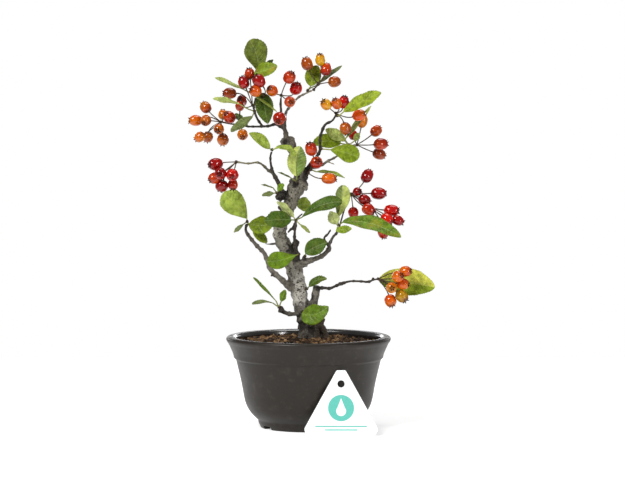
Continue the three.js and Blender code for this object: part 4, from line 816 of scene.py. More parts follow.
class Finish:
    """A node material, built up from small steps."""

    def __init__(self, name, **values):
        self.material = bpy.data.materials.new(name)
        self.material.use_nodes = True
        self.tree = self.material.node_tree
        self.shader = self.tree.nodes["Principled BSDF"]
        for name, value in values.items():
            socket = name.replace("_", " ").title().replace("Ior", "IOR")
            self.shader.inputs[socket].default_value = value

    def join(self, value, socket):
        """Links an output to a socket, or sets the socket's own value."""
        if isinstance(value, bpy.types.NodeSocket):
            self.tree.links.new(value, socket)
        else:
            socket.default_value = value

    def add(self, kind, inputs=(), **settings):
        """Adds a node. inputs holds an output or a value for each of its sockets."""
        node = self.tree.nodes.new(kind)
        for key, value in settings.items():
            setattr(node, key, value)
        for socket, value in dict(inputs).items():
            self.join(value, node.inputs[socket])
        return node

    def calc(self, operation, first, second=0.0):
        return self.add("ShaderNodeMath", {0: first, 1: second}, operation=operation).outputs[0]

    def times(self, first, second):
        return self.calc("MULTIPLY", first, second)

    def remap(self, value, low, high, to_low=0.0, to_high=1.0):
        inputs = {"Value": value, "From Min": low, "From Max": high, "To Min": to_low, "To Max": to_high}
        return self.add("ShaderNodeMapRange", inputs).outputs[0]

    def mix(self, share, first, second, blend="MIX"):
        """Mixes two colours, each a socket, a linear colour or the name of a dye."""
        first, second = (rgba(DYES[side]) if isinstance(side, str) else side for side in (first, second))
        inputs = {0: share, 6: first, 7: second}
        return self.add("ShaderNodeMix", inputs, data_type="RGBA", blend_type=blend).outputs[2]

    def shaded(self, colour, dye, share, height, low, high):
        """The colour, darkened by a dye where a noise is low."""
        return self.mix(self.remap(height, low, high), self.mix(share, colour, dye, "MULTIPLY"), colour)

    def most(self, first, *others):
        """The greatest of several values."""
        for other in others:
            first = self.calc("MAXIMUM", first, other)
        return first

    def tint(self):
        return self.add("ShaderNodeAttribute", attribute_name="tint").outputs["Color"]

    def spot(self):
        """The three numbers kept at each point as its spot."""
        spot = self.add("ShaderNodeAttribute", attribute_name="spot").outputs["Vector"]
        return self.add("ShaderNodeSeparateXYZ", {0: spot}).outputs

    def place(self, stretch=(1, 1, 1)):
        place = self.add("ShaderNodeTexCoord").outputs["Object"]
        return self.add("ShaderNodeMapping", {"Vector": place, "Scale": stretch}).outputs[0]

    def noise(self, scale, detail=3.0, rough=0.55, stretch=(1, 1, 1)):
        """Noise with so many lumps a metre."""
        inputs = {"Vector": self.place(stretch), "Scale": scale, "Detail": detail, "Roughness": rough}
        return self.add("ShaderNodeTexNoise", inputs).outputs["Fac"]

    def cells(self, scale, feature="F1", stretch=(1, 1, 1)):
        inputs = {"Vector": self.place(stretch), "Scale": scale}
        return self.add("ShaderNodeTexVoronoi", inputs, feature=feature).outputs["Distance"]

    def bump(self, height, distance, strength=1.0, normal=None):
        inputs = {"Height": height, "Distance": distance, "Strength": strength}
        if normal is not None:
            inputs["Normal"] = normal
        return self.add("ShaderNodeBump", inputs).outputs["Normal"]

    def done(self, colour, normal, rough=None):
        """Joins the colour, the relief and the roughness to the shader."""
        self.join(colour, self.shader.inputs["Base Color"])
        self.join(normal, self.shader.inputs["Normal"])
        if rough is not None:
            self.join(rough, self.shader.inputs["Roughness"])
        return self.material


def pot_finish(name, roughness, gloss, low, high):
    """Satin moulded plastic with faint turning marks, a little dusty."""
    finish = Finish(name, specular_ior_level=gloss)
    broad = finish.noise(45, 4)
    marks = finish.noise(60, 3, stretch=(1, 1, 9))
    fine = finish.noise(900, 2)
    dust = finish.remap(finish.noise(160, 6, 0.7), 0.52, 0.72, 0.0, 0.12)
    tone = finish.mix(broad, rgba(low), rgba(high))
    worn = finish.bump(marks, 0.0003, 0.3, finish.bump(broad, 0.0004, 0.3))
    rough = finish.remap(broad, 0.3, 0.7, roughness - 0.05, roughness + 0.08)
    return finish.done(finish.mix(dust, tone, "dust"), finish.bump(fine, 0.00006, 0.5, worn), rough)


def soil_finish():
    """Fired clay granules: matt, pitted, each with its own tone."""
    finish = Finish("ClayGranules", roughness=0.95, specular_ior_level=0.2)
    grain = finish.noise(1500, 4, 0.7)
    patch = finish.noise(420, 3)
    lit = finish.shaded(finish.tint(), "pit", 0.5, grain, 0.35, 0.7)
    colour = finish.shaded(lit, "damp", 0.8, patch, 0.42, 0.6)
    return finish.done(colour, finish.bump(grain, 0.0005, 0.9))


def bark_finish():
    """Grey bark, blotched and speckled with lenticels. Spot holds how thin it is and how much painted shade
    its hollows and crotches take.
    """
    finish = Finish("Bark", roughness=0.8, specular_ior_level=0.3)
    thin, dark, _ = finish.spot()
    tint = finish.tint()
    plate = finish.noise(120, 5, 0.62)
    blotch = finish.noise(420, 5, 0.68, (1, 1, 0.7))
    speck = finish.noise(1600, 3, 0.6)
    light = finish.shaded(tint, "plate", 0.55, plate, 0.38, 0.6)
    patched = finish.mix(finish.remap(blotch, 0.4, 0.49, 0.85, 0.0), light, "blotch")
    fleck = finish.mix(0.35, tint, "fleck")
    flecked = finish.mix(finish.remap(speck, 0.5, 0.66, 0.0, 0.6), patched, fleck)
    dots = finish.remap(finish.cells(330, stretch=(1, 1, 1.5)), 0.2, 0.28, 0.95, 0.0)
    shade = finish.mix(finish.times(thin, 0.6), finish.mix(dots, flecked, "lenticel"), tint)
    # Painted shade of the hollows and crotches, made uneven by the blotches, darkens the bark towards the
    # stain dye.
    edge = finish.calc("ADD", dark, finish.remap(blotch, 0.35, 0.65, -0.35, 0.35))
    colour = finish.mix(finish.remap(edge, 0.3, 0.7, 0.0, 0.92), shade, "stain")
    relief = finish.calc("ADD", finish.times(blotch, 0.7), finish.times(plate, 0.6))
    relief = finish.calc("SUBTRACT", relief, finish.times(dots, 0.3))
    return finish.done(colour, finish.bump(relief, 0.0011, 0.8, finish.bump(speck, 0.00025, 0.5)))


def leaf_finish(name, roughness, rib_share, vein_share, net_share):
    """A leaf's side. Spot holds the places across and along and the half width, in millimetres."""
    finish = Finish(name, roughness=roughness, specular_ior_level=0.3, specular_tint=LEAF_GLEAM)
    across, along, half = finish.spot()
    from_rib = finish.calc("ABSOLUTE", across)
    slant = finish.times(from_rib, 1 / BLADE.vein_slant)
    turn = finish.calc("DIVIDE", finish.calc("SUBTRACT", along, slant), BLADE.vein_spacing)
    to_vein = finish.calc("ABSOLUTE", finish.calc("SUBTRACT", finish.calc("FRACT", turn), 0.5))
    fade = finish.remap(finish.calc("DIVIDE", from_rib, half), 0.55, 0.98, 1.0, 0.0)
    vein = finish.times(finish.remap(to_vein, 0.03, 0.12, 1.0, 0.0), fade)
    rib = finish.remap(from_rib, 0.12, 0.5, 1.0, 0.0)
    net = finish.remap(finish.cells(1300, "DISTANCE_TO_EDGE"), 0.02, 0.16, 1.0, 0.0)
    patch = finish.noise(260, 4)
    base = finish.shaded(finish.tint(), "leaf_shade", 0.85, patch, 0.36, 0.64)
    shares = (finish.times(*row) for row in [(rib, rib_share), (vein, vein_share), (net, net_share)])
    colour = finish.mix(finish.most(*shares), base, finish.mix(0.6, base, "vein"))
    height = finish.most(vein, rib, finish.times(net, 0.4))
    sunk = finish.bump(finish.calc("SUBTRACT", 1.0, height), 0.0002, 0.8)
    rough = finish.remap(patch, 0.3, 0.7, roughness - 0.07, roughness + 0.12)
    return finish.done(colour, finish.bump(patch, 0.0005, 0.5, sunk), rough)


def berry_finish():
    """Glossy skin, faintly mottled, with small pale dots."""
    finish = Finish("BerrySkin", specular_ior_level=0.0, coat_weight=1.0, coat_ior=1.49, coat_roughness=0.03)
    mottle = finish.noise(480, 4, 0.6)
    base = finish.shaded(finish.tint(), "deep_skin", 0.45, mottle, 0.36, 0.6)
    dots = finish.remap(finish.cells(850), 0.09, 0.16, 0.1, 0.0)
    rough = finish.remap(mottle, 0.3, 0.7, 0.12, 0.2)
    return finish.done(finish.mix(dots, base, "dot"), finish.bump(mottle, 0.00008, 0.3), rough)


def stalk_finish():
    """Thin stalks, buds and fruit crowns, in the colour painted on them."""
    finish = Finish("StalkSkin", roughness=0.65, specular_ior_level=0.18)
    speck = finish.noise(1500, 3)
    colour = finish.shaded(finish.tint(), "dry_stalk", 0.6, speck, 0.4, 0.6)
    return finish.done(colour, finish.bump(speck, 0.00012, 0.6))


def tag_finish():
    """White coated card with a plain mint print."""
    finish = Finish("TagCard", roughness=0.38)
    place = finish.add("ShaderNodeSeparateXYZ", {0: finish.place((1 / MM, 1 / MM, 1 / MM))}).outputs
    across, up = finish.calc("SUBTRACT", place[0], TAG.across), place[2]
    off_middle = finish.calc("ABSOLUTE", across)
    soft = PRINT.soft

    def inside(distance, reach):
        return finish.remap(distance, reach - soft, reach + soft, 1.0, 0.0)

    def from_point(rise):
        squares = finish.calc("ADD", finish.calc("POWER", across, 2.0), finish.calc("POWER", rise, 2.0))
        return finish.calc("SQRT", squares)

    rise = finish.calc("SUBTRACT", up, PRINT.roundel_up)
    low = finish.calc("ADD", rise, PRINT.drop_low)
    taper = finish.calc("SUBTRACT", PRINT.drop_reach, low)
    width = finish.times(taper, PRINT.drop_radius / PRINT.drop_reach)
    point = finish.remap(finish.calc("SUBTRACT", width, off_middle), -soft, soft)
    point = finish.times(point, finish.remap(low, 0.0, PRINT.drop_seam))
    drop = finish.most(inside(from_point(low), PRINT.drop_radius), point)
    disc = inside(from_point(rise), PRINT.roundel_radius)
    printed = finish.times(disc, finish.calc("SUBTRACT", 1.0, drop))
    for line_up, half_length in PRINT.lines:
        off = finish.calc("ABSOLUTE", finish.calc("SUBTRACT", up, line_up))
        line = finish.times(inside(off, PRINT.line_half), inside(off_middle, half_length))
        printed = finish.most(printed, line)
    fibre = finish.noise(700, 3)
    card, ink = finish.mix(fibre, "card_low", "card_high"), finish.mix(fibre, "ink_low", "ink_high")
    return finish.done(finish.mix(printed, card, ink), finish.bump(fibre, 0.00004, 0.4))


# Wood


def tone_of(limb, shares, heights):
    """Linear colours along a limb."""
    if limb == "trunk":
        stops, names = zip(*TRUNK_TONES)
        shares = heights
    else:
        names = LIMB_TONES.get(limb, ("twig", "twig"))
        stops = np.linspace(0, 1, len(names))
    bands = np.array([linear(WOOD_TONES[name]) for name in names]).T
    return np.column_stack([np.interp(shares, stops, band) for band in bands])


def nodes_along(steps, rng):
    """Small swellings a few millimetres apart, as on a twig."""
    swell = np.zeros(len(steps))
    at = rng.uniform(*BARK.first_node)
    while at < len(steps):
        swell += np.exp(-((steps - at) / BARK.node_length) ** 2)
        at += rng.uniform(*BARK.node_gap)
    return swell


def wood_bodies():
    """A rough mesh of every limb as a tube, with the knots, and the limbs' samples: place, radius, tone."""
    shape = Shape()
    samples = []
    rng = random.Random(BARK.seed)
    for limb, points in LIMBS.items():
        path = smooth_path([[*sighted(point), point[3]] for point in points], BARK.step)
        centre, radius = path[:, :3], path[:, 3]
        slim = radius - BARK.slim * (1 - smoothstep(*BARK.slimmed, radius))
        steps = np.arange(len(path))
        wave = np.sin(steps * BARK.swell_pace + rng.uniform(0, TURN))
        swell = 1 + BARK.swell * wave * smoothstep(*BARK.waved, radius)
        swell = swell + BARK.node_swell * nodes_along(steps, rng) * (1 - smoothstep(*BARK.noded, radius))
        ends = np.ones(len(path))
        ends[[0, -1]] = BARK.end_share
        shape.add(*tube_body(centre, slim * swell * ends, BARK.sides), 0, WHITE[:3])
        samples.append(np.hstack([path, tone_of(limb, steps / steps[-1], centre[:, 2])]))
    for number, (at, radii) in enumerate(KNOTS, 1):
        shape.add(*lump_body(sighted(at), radii, 3, BARK.knot_rough, number), 0, WHITE[:3])
    return shape.mesh("Wood", []), np.vstack(samples)


def grow_together(mesh):
    """Fuses overlapping bodies into one even skin."""
    holder = stand("Fusing", mesh)
    remesh = holder.modifiers.new("Fuse", "REMESH")
    remesh.mode = "VOXEL"
    remesh.voxel_size = BARK.voxel * MM
    relax = holder.modifiers.new("Relax", "SMOOTH")
    relax.factor = BARK.relax
    relax.iterations = BARK.relax_rounds
    fused = worked_in(holder)
    bpy.data.objects.remove(holder)
    bpy.data.meshes.remove(mesh)
    return fused


def bark_lift(place, thick):
    """How far the bark stands out at a place: broad swells, low plates and small warts."""
    swell = noise.noise(place * BARK_FINENESS["swell"])
    plate = noise.fractal(place * Vector(BARK_FINENESS["plate"]), 1.0, 2.1, 4)
    wart = max(0, noise.noise(place * BARK_FINENESS["wart"]) - WART_FROM)
    lump = noise.noise(place * BARK_FINENESS["lump"])
    broad = BARK_HEIGHT["swell"] * swell + BARK_HEIGHT["plate"] * plate + BARK_HEIGHT["wart"] * wart
    return thick * broad + BARK_HEIGHT["lump"] * lump


def carve_bark(mesh, samples):
    """Raises and sinks the bark, and paints its tones, its thin twigs and its dark marks, most of them
    painted shade in its hollows and crotches.
    """
    tree = kdtree.KDTree(len(samples))
    for i, sample in enumerate(samples):
        tree.insert(Vector(sample[:3]), i)
    tree.balance()
    count = len(mesh.vertices)
    spots = np.zeros((count, 3))
    tints = np.zeros((count, 3))
    moved = np.zeros((count, 3))
    marks = [(Vector(sighted(at)), *mark) for at, *mark in BARK_MARKS]
    for i, vertex in enumerate(mesh.vertices):
        place = vertex.co / MM
        near = tree.find_n(place, BARK.neighbours)
        weights = np.array([1 / (gap + BARK.nearness) for _, _, gap in near])
        rows = samples[[index for _, index, _ in near]]
        radius, *tint = weights @ rows[:, 3:] / weights.sum()
        thick = float(smoothstep(*BARK.thick, radius))
        lift = bark_lift(place, thick)
        dark = 0.0
        # The marks sink the bark and paint shade into its hollows and crotches.
        for centre, reach, depth, darkness in marks:
            gap = (place - centre).length / reach
            if gap < 1:
                share = float(smoothstep(0, 1, 1 - gap))
                lift -= depth * share
                dark = max(dark, darkness * min(1, share * BARK.mark_growth))
        moved[i] = (place + vertex.normal * lift) * MM
        spots[i] = (1 - thick, dark, 0)
        tints[i] = tint
    mesh.vertices.foreach_set("co", moved.ravel())
    mesh.polygons.foreach_set("use_smooth", [True] * len(mesh.polygons))
    paint(mesh, "spot", spots)
    paint(mesh, "tint", tints)
    mesh.update()


def build_trunk(finish):
    rough, samples = wood_bodies()
    mesh = grow_together(rough)
    for old in ("spot", "tint"):
        if old in mesh.attributes:
            mesh.attributes.remove(mesh.attributes[old])
    carve_bark(mesh, samples)
    mesh.materials.clear()
    mesh.materials.append(finish)
    place_piece("TrunkBark", mesh, "trunk")


# Leaves

UPPER, UNDER, STALK = 0, 1, 2


def leaf_outline(form, share, half_width):
    """Half the blade's width at a share of its length: full in the middle, drawn out to a short point."""
    form = LEAF_FORMS[form]
    bend = math.log(0.5) / math.log(form["widest"])
    return half_width * np.sin(math.pi * np.clip(share, 0, 1) ** bend) ** form["fullness"]


def leaf_body(leaf, rng):
    """The blade: points of its upper side and of its underside, with a place on the leaf for each."""
    start, end = sighted(leaf["base"]), sighted(leaf["tip"])
    middle = (start + end) / 2 + 2 * np.array(leaf.get("sag", [0, 0, 0]), dtype=float)
    length = np.linalg.norm(end - start)
    teeth = max(BLADE.least_teeth, round(length / BLADE.tooth_spacing))
    rows = teeth * BLADE.rows_per_tooth
    rib = bezier([start, middle, end], rows + 1)
    along = np.gradient(rib, axis=0)
    along /= np.linalg.norm(along, axis=1)[:, None]
    share = np.linspace(0, 1, rows + 1)
    twist = rng.uniform(-BLADE.twist, BLADE.twist)
    fold = math.radians(leaf.get("fold", BLADE.fold))
    waves, wave_start = rng.uniform(*BLADE.waves), rng.uniform(0, TURN)
    wave_height = BLADE.wave * leaf["width"]
    curl = rng.uniform(*BLADE.curl)
    half = np.maximum(leaf_outline(leaf["form"], share, leaf["width"] / 2), BLADE.least_half_width)
    phase = (share * teeth) % 1
    face = unit(np.array(leaf["face"], dtype=float))
    across = np.linspace(-1, 1, 2 * BLADE.half_columns + 1)
    top, bottom, spots = [], [], []
    for i in range(rows + 1):
        up = unit(face - along[i] * face.dot(along[i]))
        side = np.cross(along[i], up)
        turn = twist * (share[i] - BLADE.still) * 2
        side, up = side * math.cos(turn) + up * math.sin(turn), up * math.cos(turn) - side * math.sin(turn)
        reach = half[i] / half.max()
        tooth = BLADE.tooth_height * (phase[i] - BLADE.tooth_foot) * min(1, reach * BLADE.tooth_growth)
        wave = wave_height * min(1, reach * BLADE.wave_growth)
        for place in across:
            far = abs(place)
            hand = 1 if place > 0 else -1
            edge = float(smoothstep(BLADE.toothed_from, 1, far))
            out = half[i] * far + tooth * edge
            ripple = math.sin(share[i] * waves * 2 * math.pi + wave_start + hand * BLADE.wave_lag)
            vein = (share[i] * length - half[i] * far / BLADE.vein_slant) / BLADE.vein_spacing
            lift = math.sin(fold) * out * blend(far, BLADE.rib_fold, 1) - curl * half[i] * far**2
            lift += wave * ripple * far**2 * hand
            lift += BLADE.pucker * math.cos(2 * math.pi * vein) * 4 * far * (1 - far) * reach
            depth = BLADE.thickness + (BLADE.edge_thickness - BLADE.thickness) * far**2
            centre = rib[i] + side * hand * out * math.cos(fold * far) + up * lift
            centre = centre + along[i] * tooth * edge * BLADE.tooth_lean
            top.append(centre + up * depth / 2)
            bottom.append(centre - up * depth / 2)
            spots.append((place * half[i], share[i] * length, half[i]))
    return np.array(top), np.array(bottom), np.array(spots), rows


def blade_faces(rows, columns):
    """Faces of the two sides of a blade and of the edge between them."""
    width = columns + 1
    under = (rows + 1) * width
    faces, finishes = [], []
    for i in range(rows):
        for j in range(columns):
            a, b = i * width + j, (i + 1) * width + j
            faces.append((a, a + 1, b + 1, b))
            faces.append((under + a, under + b, under + b + 1, under + a + 1))
            finishes += [UPPER, UNDER]
        first, last = i * width, i * width + columns
        faces.append((first, first + width, under + first + width, under + first))
        faces.append((last, under + last, under + last + width, last + width))
        finishes += [UNDER, UNDER]
    for j in range(columns):
        end = rows * width + j
        faces.append((j, under + j, under + j + 1, j + 1))
        faces.append((end, end + 1, under + end + 1, under + end))
        finishes += [UNDER, UNDER]
    return faces, finishes


def leaf_tints(leaf, spots, rng):
    """Colours of the upper side and the underside, point by point."""
    looks = [leaf["look"], leaf.get("tip_look", leaf["look"]), leaf.get("right_look")]
    to_tip = smoothstep(*LEAF_TONES.to_tip, spots[:, 1] / spots[:, 1].max())[:, None]
    to_right = smoothstep(*LEAF_TONES.to_right, spots[:, 0])[:, None]
    tone = 1 + rng.uniform(-LEAF_TONES.change, LEAF_TONES.change)
    seed = Vector((rng.uniform(0, SHIFT), 0, 0))
    mottle = np.array([noise.noise(Vector(spot) * LEAF_TONES.patches + seed) for spot in spots])
    stain = smoothstep(*LEAF_TONES.stained, mottle)[:, None] * leaf.get("stain", LEAF_TONES.stain)
    worn = smoothstep(*LEAF_TONES.worn, np.abs(spots[:, 0]) / spots[:, 2])[:, None] * LEAF_TONES.wear
    tints = []
    for side in (UPPER, UNDER):
        base, tip = (linear(LEAF_LOOKS[look][side]) for look in looks[:2])
        colour = blend(to_tip, base, tip)
        if looks[2]:
            colour = blend(to_right, colour, linear(LEAF_LOOKS[looks[2]][side]))
        colour = blend(stain, colour * tone, linear(LEAF_STAIN))
        tints.append(blend(worn, colour, linear(LEAF_EDGE)))
    return tints


def add_leaf(shape, seat, leaf, rng):
    top, bottom, spots, rows = leaf_body(leaf, rng)
    columns = 2 * BLADE.half_columns
    faces, finishes = blade_faces(rows, columns)
    tints = np.vstack(leaf_tints(leaf, spots, rng))
    shape.add(np.vstack([top, bottom]), faces, finishes, tints, np.vstack([spots, spots]))
    rib = bottom.reshape(rows + 1, columns + 1, 3)[:, columns // 2]
    stops = [sighted(place) for place in [seat, *leaf.get("via", [])]]
    stalk = smooth_path([*stops, rib[1]], BLADE.stalk_step)
    path = np.vstack([stalk[:-1], rib[1:-4:3]])
    rib_radii = np.linspace(*BLADE.rib_radii, len(path) - len(stalk) + 1)
    radii = np.concatenate([np.full(len(stalk) - 1, BLADE.stalk_radius), rib_radii])
    tint = blend(0.5, linear(STALK_GREEN), linear(LEAF_LOOKS[leaf["look"]][UNDER]))
    shape.add(*tube_body(path, radii, BLADE.stalk_sides, BLADE.stalk_flat), STALK, tint)


def add_knuckle(shape, seat, finish, number):
    """The bud scar that a spray or a bunch grows from."""
    body = lump_body(sighted(seat), [KNUCKLE_RADIUS] * 3, 3, KNUCKLE_ROUGH, number)
    shape.add(*body, finish, linear(TWIG_BROWN))


def place_grown(node, shape, finishes):
    """Puts a spray or a bunch in the scene, named like its node."""
    name = node.title().replace("_", "")
    place_piece(name, shape.mesh(name, finishes), node)


def build_spray(node, seat, leaves, finishes, seed):
    shape = Shape()
    rng = random.Random(seed)
    add_knuckle(shape, seat, STALK, seed)
    for row in leaves:
        leaf = dict(zip(LEAF_KEYS, row), **dict(*row[len(LEAF_KEYS):]))
        add_leaf(shape, seat, leaf, rng)
    place_grown(node, shape, finishes)


# Berries

# A pome from its stem end, over its shoulder, to the dimple inside its crown: share of the length from
# the middle, share of the radius
POME = [
    (-0.5, 0.08), (-0.485, 0.3), (-0.43, 0.57), (-0.34, 0.79), (-0.21, 0.94), (-0.06, 1.0), (0.09, 0.98),
    (0.23, 0.9), (0.34, 0.77), (0.42, 0.6), (0.465, 0.44), (0.475, 0.34), (0.455, 0.26), (0.41, 0.12),
]
SKIN, FIBRE = 0, 1


def pome_body(centre, axis, length, radius, rng):
    """The fruit: a lathed form, a little uneven."""
    profile = smooth_path(POME, BERRY.step)
    points = centre + axis * profile[:, :1] * length
    body, faces = tube_body(points, np.maximum(profile[:, 1], BERRY.least_share) * radius, BERRY.sides)
    seed = rng.uniform(0, SHIFT)
    out = []
    for point in body:
        offset = point - centre
        flat = offset - axis * offset.dot(axis)
        place = Vector(offset * BERRY.fineness) + Vector((seed, seed * 0.7, 0))
        swell = 1 + BERRY.uneven * noise.noise(place)
        out.append(centre + axis * offset.dot(axis) + flat * swell)
    return np.array(out), faces


def add_crown(shape, centre, axis, length, radius, rng):
    """Five small dry lobes round the dimple at the fruit's end, and its heart."""
    side = unit(np.cross(axis, UP if abs(axis[2]) < 0.9 else np.array([1.0, 0, 0])))
    rise = np.cross(axis, side)
    turn, spread = rng.uniform(0, TURN), rng.uniform(*CROWN.spread)
    change = CROWN.spread_change
    for lobe in range(CROWN.lobes):
        angle = turn + lobe * 2 * math.pi / CROWN.lobes
        out = side * math.cos(angle) + rise * math.sin(angle)
        foot = centre + axis * length * CROWN.place + out * radius * CROWN.foot
        reach = out * radius * (spread + rng.uniform(-change, change))
        knee = foot + axis * CROWN.knee + reach * 0.5
        path = np.array([foot, knee, foot + axis * rng.uniform(*CROWN.height) + reach])
        body = tube_body(path, CROWN.radii, CROWN.sides, CROWN.flat, math.pi / 6)
        shape.add(*body, FIBRE, linear(CROWN_BROWN))
    heart = centre + axis * length * CROWN.heart_place
    body = lump_body(heart, [CROWN.heart_radius] * 3, 2, CROWN.heart_rough, turn)
    shape.add(*body, FIBRE, linear(CROWN_HEART))


def pedicel_path(start, centre, axis, length):
    """The fruit's thin stalk, from its fork to just inside its stem end."""
    end = centre - axis * length * 0.5
    approach = end - axis * np.linalg.norm(start - end) * BERRY.approach
    bend = blend(BERRY.bend, start, approach)
    return bezier([start, bend, approach, end + axis * BERRY.pedicel_sunk], BERRY.pedicel_points)


def berry_tints(body, centre, axis, length, ripe, rng):
    """Two tones across the fruit, deeper at its stem end and dark in its dimple."""
    main, cheek = (linear(colour) for colour in RIPENESS[ripe])
    blush = unit(np.array([rng.uniform(-1, most) for most in (1, BERRY_TONES.cheek_back, 1)]))
    lean = smoothstep(*BERRY_TONES.cheek, (body - centre) @ blush / length)[:, None]
    share = (body - centre) @ axis / length
    ends = smoothstep(*BERRY_TONES.ends, np.abs(share))
    tint = blend(lean, main, cheek) * (1 - BERRY_TONES.end_dark * ends)[:, None]
    dimple = smoothstep(*BERRY_TONES.dimple, share)[:, None] * BERRY_TONES.dimple_dark
    return blend(dimple, tint, linear(CROWN_BROWN))


def add_berry(shape, rng, start, at, size, toward, ripe):
    """One fruit with its stalk. size holds its length and its width."""
    length, diameter = size
    axis = unit(np.array(toward, dtype=float))
    centre = sighted(at)
    stalk = pedicel_path(sighted(start), centre, axis, length)
    radii = np.full(len(stalk), BERRY.pedicel_radius)
    radii[0] *= BERRY.foot_swell
    radii[-2:] *= BERRY.end_swell
    radii *= [1 + rng.uniform(-BERRY.change, BERRY.change) for _ in radii]
    shape.add(*tube_body(stalk, radii, BERRY.pedicel_sides), FIBRE, linear(PEDICEL))
    body, faces = pome_body(centre, axis, length, diameter / 2, rng)
    shape.add(body, faces, SKIN, berry_tints(body, centre, axis, length, ripe, rng))
    add_crown(shape, centre, axis, length, diameter / 2, rng)


def build_bunch(node, seat, path, berries, finishes, seed):
    shape = Shape()
    rng = random.Random(seed)
    fork = path[-1] if path else seat
    for at, size, toward, ripe, *start in berries:
        add_berry(shape, rng, start[0] if start else fork, at, size, toward, ripe)
    add_knuckle(shape, seat, FIBRE, seed)
    if path:
        add_knuckle(shape, fork, FIBRE, seed + 1)
        stalk = smooth_path([sighted(place) for place in [seat, *path]], BUNCH_STALK.step)
        body = tube_body(stalk, np.full(len(stalk), BUNCH_STALK.radius), BUNCH_STALK.sides)
        shape.add(*body, FIBRE, linear(TWIG_BROWN))
    place_grown(node, shape, finishes)


# Pot, soil and tag

OUTSIDE, INSIDE = 0, 1


def softened(outline, corner):
    """A closed outline with its sharp corners rounded off, and the old place of each new point."""
    points, sources = [], []
    for i, here in enumerate(outline):
        before, after = outline[i - 1], outline[(i + 1) % len(outline)]
        arriving, leaving = unit(here - before), unit(after - here)
        if arriving.dot(leaving) > POT.straight:
            points.append(here)
            sources.append(i)
            continue
        room = POT.corner_share * min(np.linalg.norm(here - before), np.linalg.norm(after - here))
        reach = min(corner, room)
        count = POT.corner_points
        points += list(bezier([here - arriving * reach, here, here + leaving * reach], count))
        sources += [i] * count
    return np.array(points), np.array(sources)


def pot_section():
    """The pot's closed outline, and the finish of each of its points."""
    curved = [POT_BODY, POT_BAND, POT_LIP, POT_INSIDE]
    outline, finishes = [], []
    for stops in [POT_FOOT, *curved, POT_FLOOR]:
        run = smooth_path(stops, POT.step) if stops in curved else np.array(stops, dtype=float)
        outline.append(run)
        finishes += [INSIDE if stops is POT_INSIDE else OUTSIDE] * len(run)
    points, sources = softened(np.vstack(outline), POT.corner)
    return points, np.array(finishes)[sources]


def turned_mesh(name, outline, slots, segments):
    """A closed ring turned from an outline of radius and height."""
    radius, height = outline.T
    rings = []
    for k in range(segments):
        angle = 2 * math.pi * k / segments
        rings.append(np.column_stack([radius * math.cos(angle), radius * math.sin(angle), height]))
    faces = ring_faces(segments, len(outline), True)
    mesh = bpy.data.meshes.new(name)
    mesh.from_pydata((np.vstack(rings) * MM).tolist(), [], faces)
    mesh.polygons.foreach_set("material_index", np.tile(slots, segments).tolist())
    mesh.polygons.foreach_set("use_smooth", [True] * len(faces))
    return mesh


def cut_notches(piece):
    """Cuts the four notches in the foot ring."""
    inner_radius, outer_radius = POT_FOOT[1][0], POT_FOOT[2][0]
    depth = outer_radius - inner_radius + 2 * POT.notch_reach
    cutter = bmesh.new()
    for degrees in POT.notch_angles:
        turn = Matrix.Rotation(math.radians(degrees), 4, "Z")
        place = turn @ Matrix.Translation((0, -(inner_radius + outer_radius) / 2 * MM, 0))
        size = (POT.notch_width * MM, depth * MM, 2 * POT.notch_height * MM)
        bmesh.ops.create_cube(cutter, size=1, matrix=place @ Matrix.Diagonal((*size, 1)))
    mesh = bpy.data.meshes.new("Notches")
    cutter.to_mesh(mesh)
    cutter.free()
    tool = stand("Notches", mesh)
    cut = piece.modifiers.new("Notches", "BOOLEAN")
    cut.operation = "DIFFERENCE"
    cut.object = tool
    cut.solver = "EXACT"
    carved = worked_in(piece)
    piece.modifiers.clear()
    piece.data = carved
    bpy.data.objects.remove(tool)


def build_pot(finishes):
    outline, slots = pot_section()
    mesh = turned_mesh("PotShell", outline, slots, POT.segments)
    for finish in finishes:
        mesh.materials.append(finish)
    cut_notches(place_piece("PotShell", mesh, "pot"))


def soil_height(x, y):
    """Height of the soil: a low crown, with its right side lower."""
    reach = min(math.hypot(x, y) / SOIL.edge_radius, 1)
    right = max(0, x / SOIL.edge_radius)
    return SOIL.edge_height + (1 - reach**2) * SOIL.crown_rise - SOIL.right_drop * right


def soil_bed():
    """The soil under the loose granules, as a closed turned body."""
    rings = [[wall] * BED_SEGMENTS for wall in SOIL_WALLS]
    angles = np.arange(BED_SEGMENTS) * 2 * math.pi / BED_SEGMENTS
    for share in np.linspace(*SOIL.bed_shares, SOIL.bed_rings):
        radius = SOIL.edge_radius * share
        ring = []
        for angle in angles:
            x, y = radius * math.cos(angle), radius * math.sin(angle)
            uneven = SOIL.bed_rough * noise.noise(Vector((x, y, 0)) * SOIL.bed_fineness)
            ring.append((radius, soil_height(x, y) - SOIL.bed_drop + uneven))
        rings.append(ring)
    body = []
    for ring in rings:
        radius, height = np.array(ring).T
        body.append(np.column_stack([radius * np.cos(angles), radius * np.sin(angles), height]))
    points = np.vstack([*body, [body[0].mean(axis=0)], [body[-1].mean(axis=0)]])
    return points, [face[::-1] for face in capped_faces(len(rings), BED_SEGMENTS)]


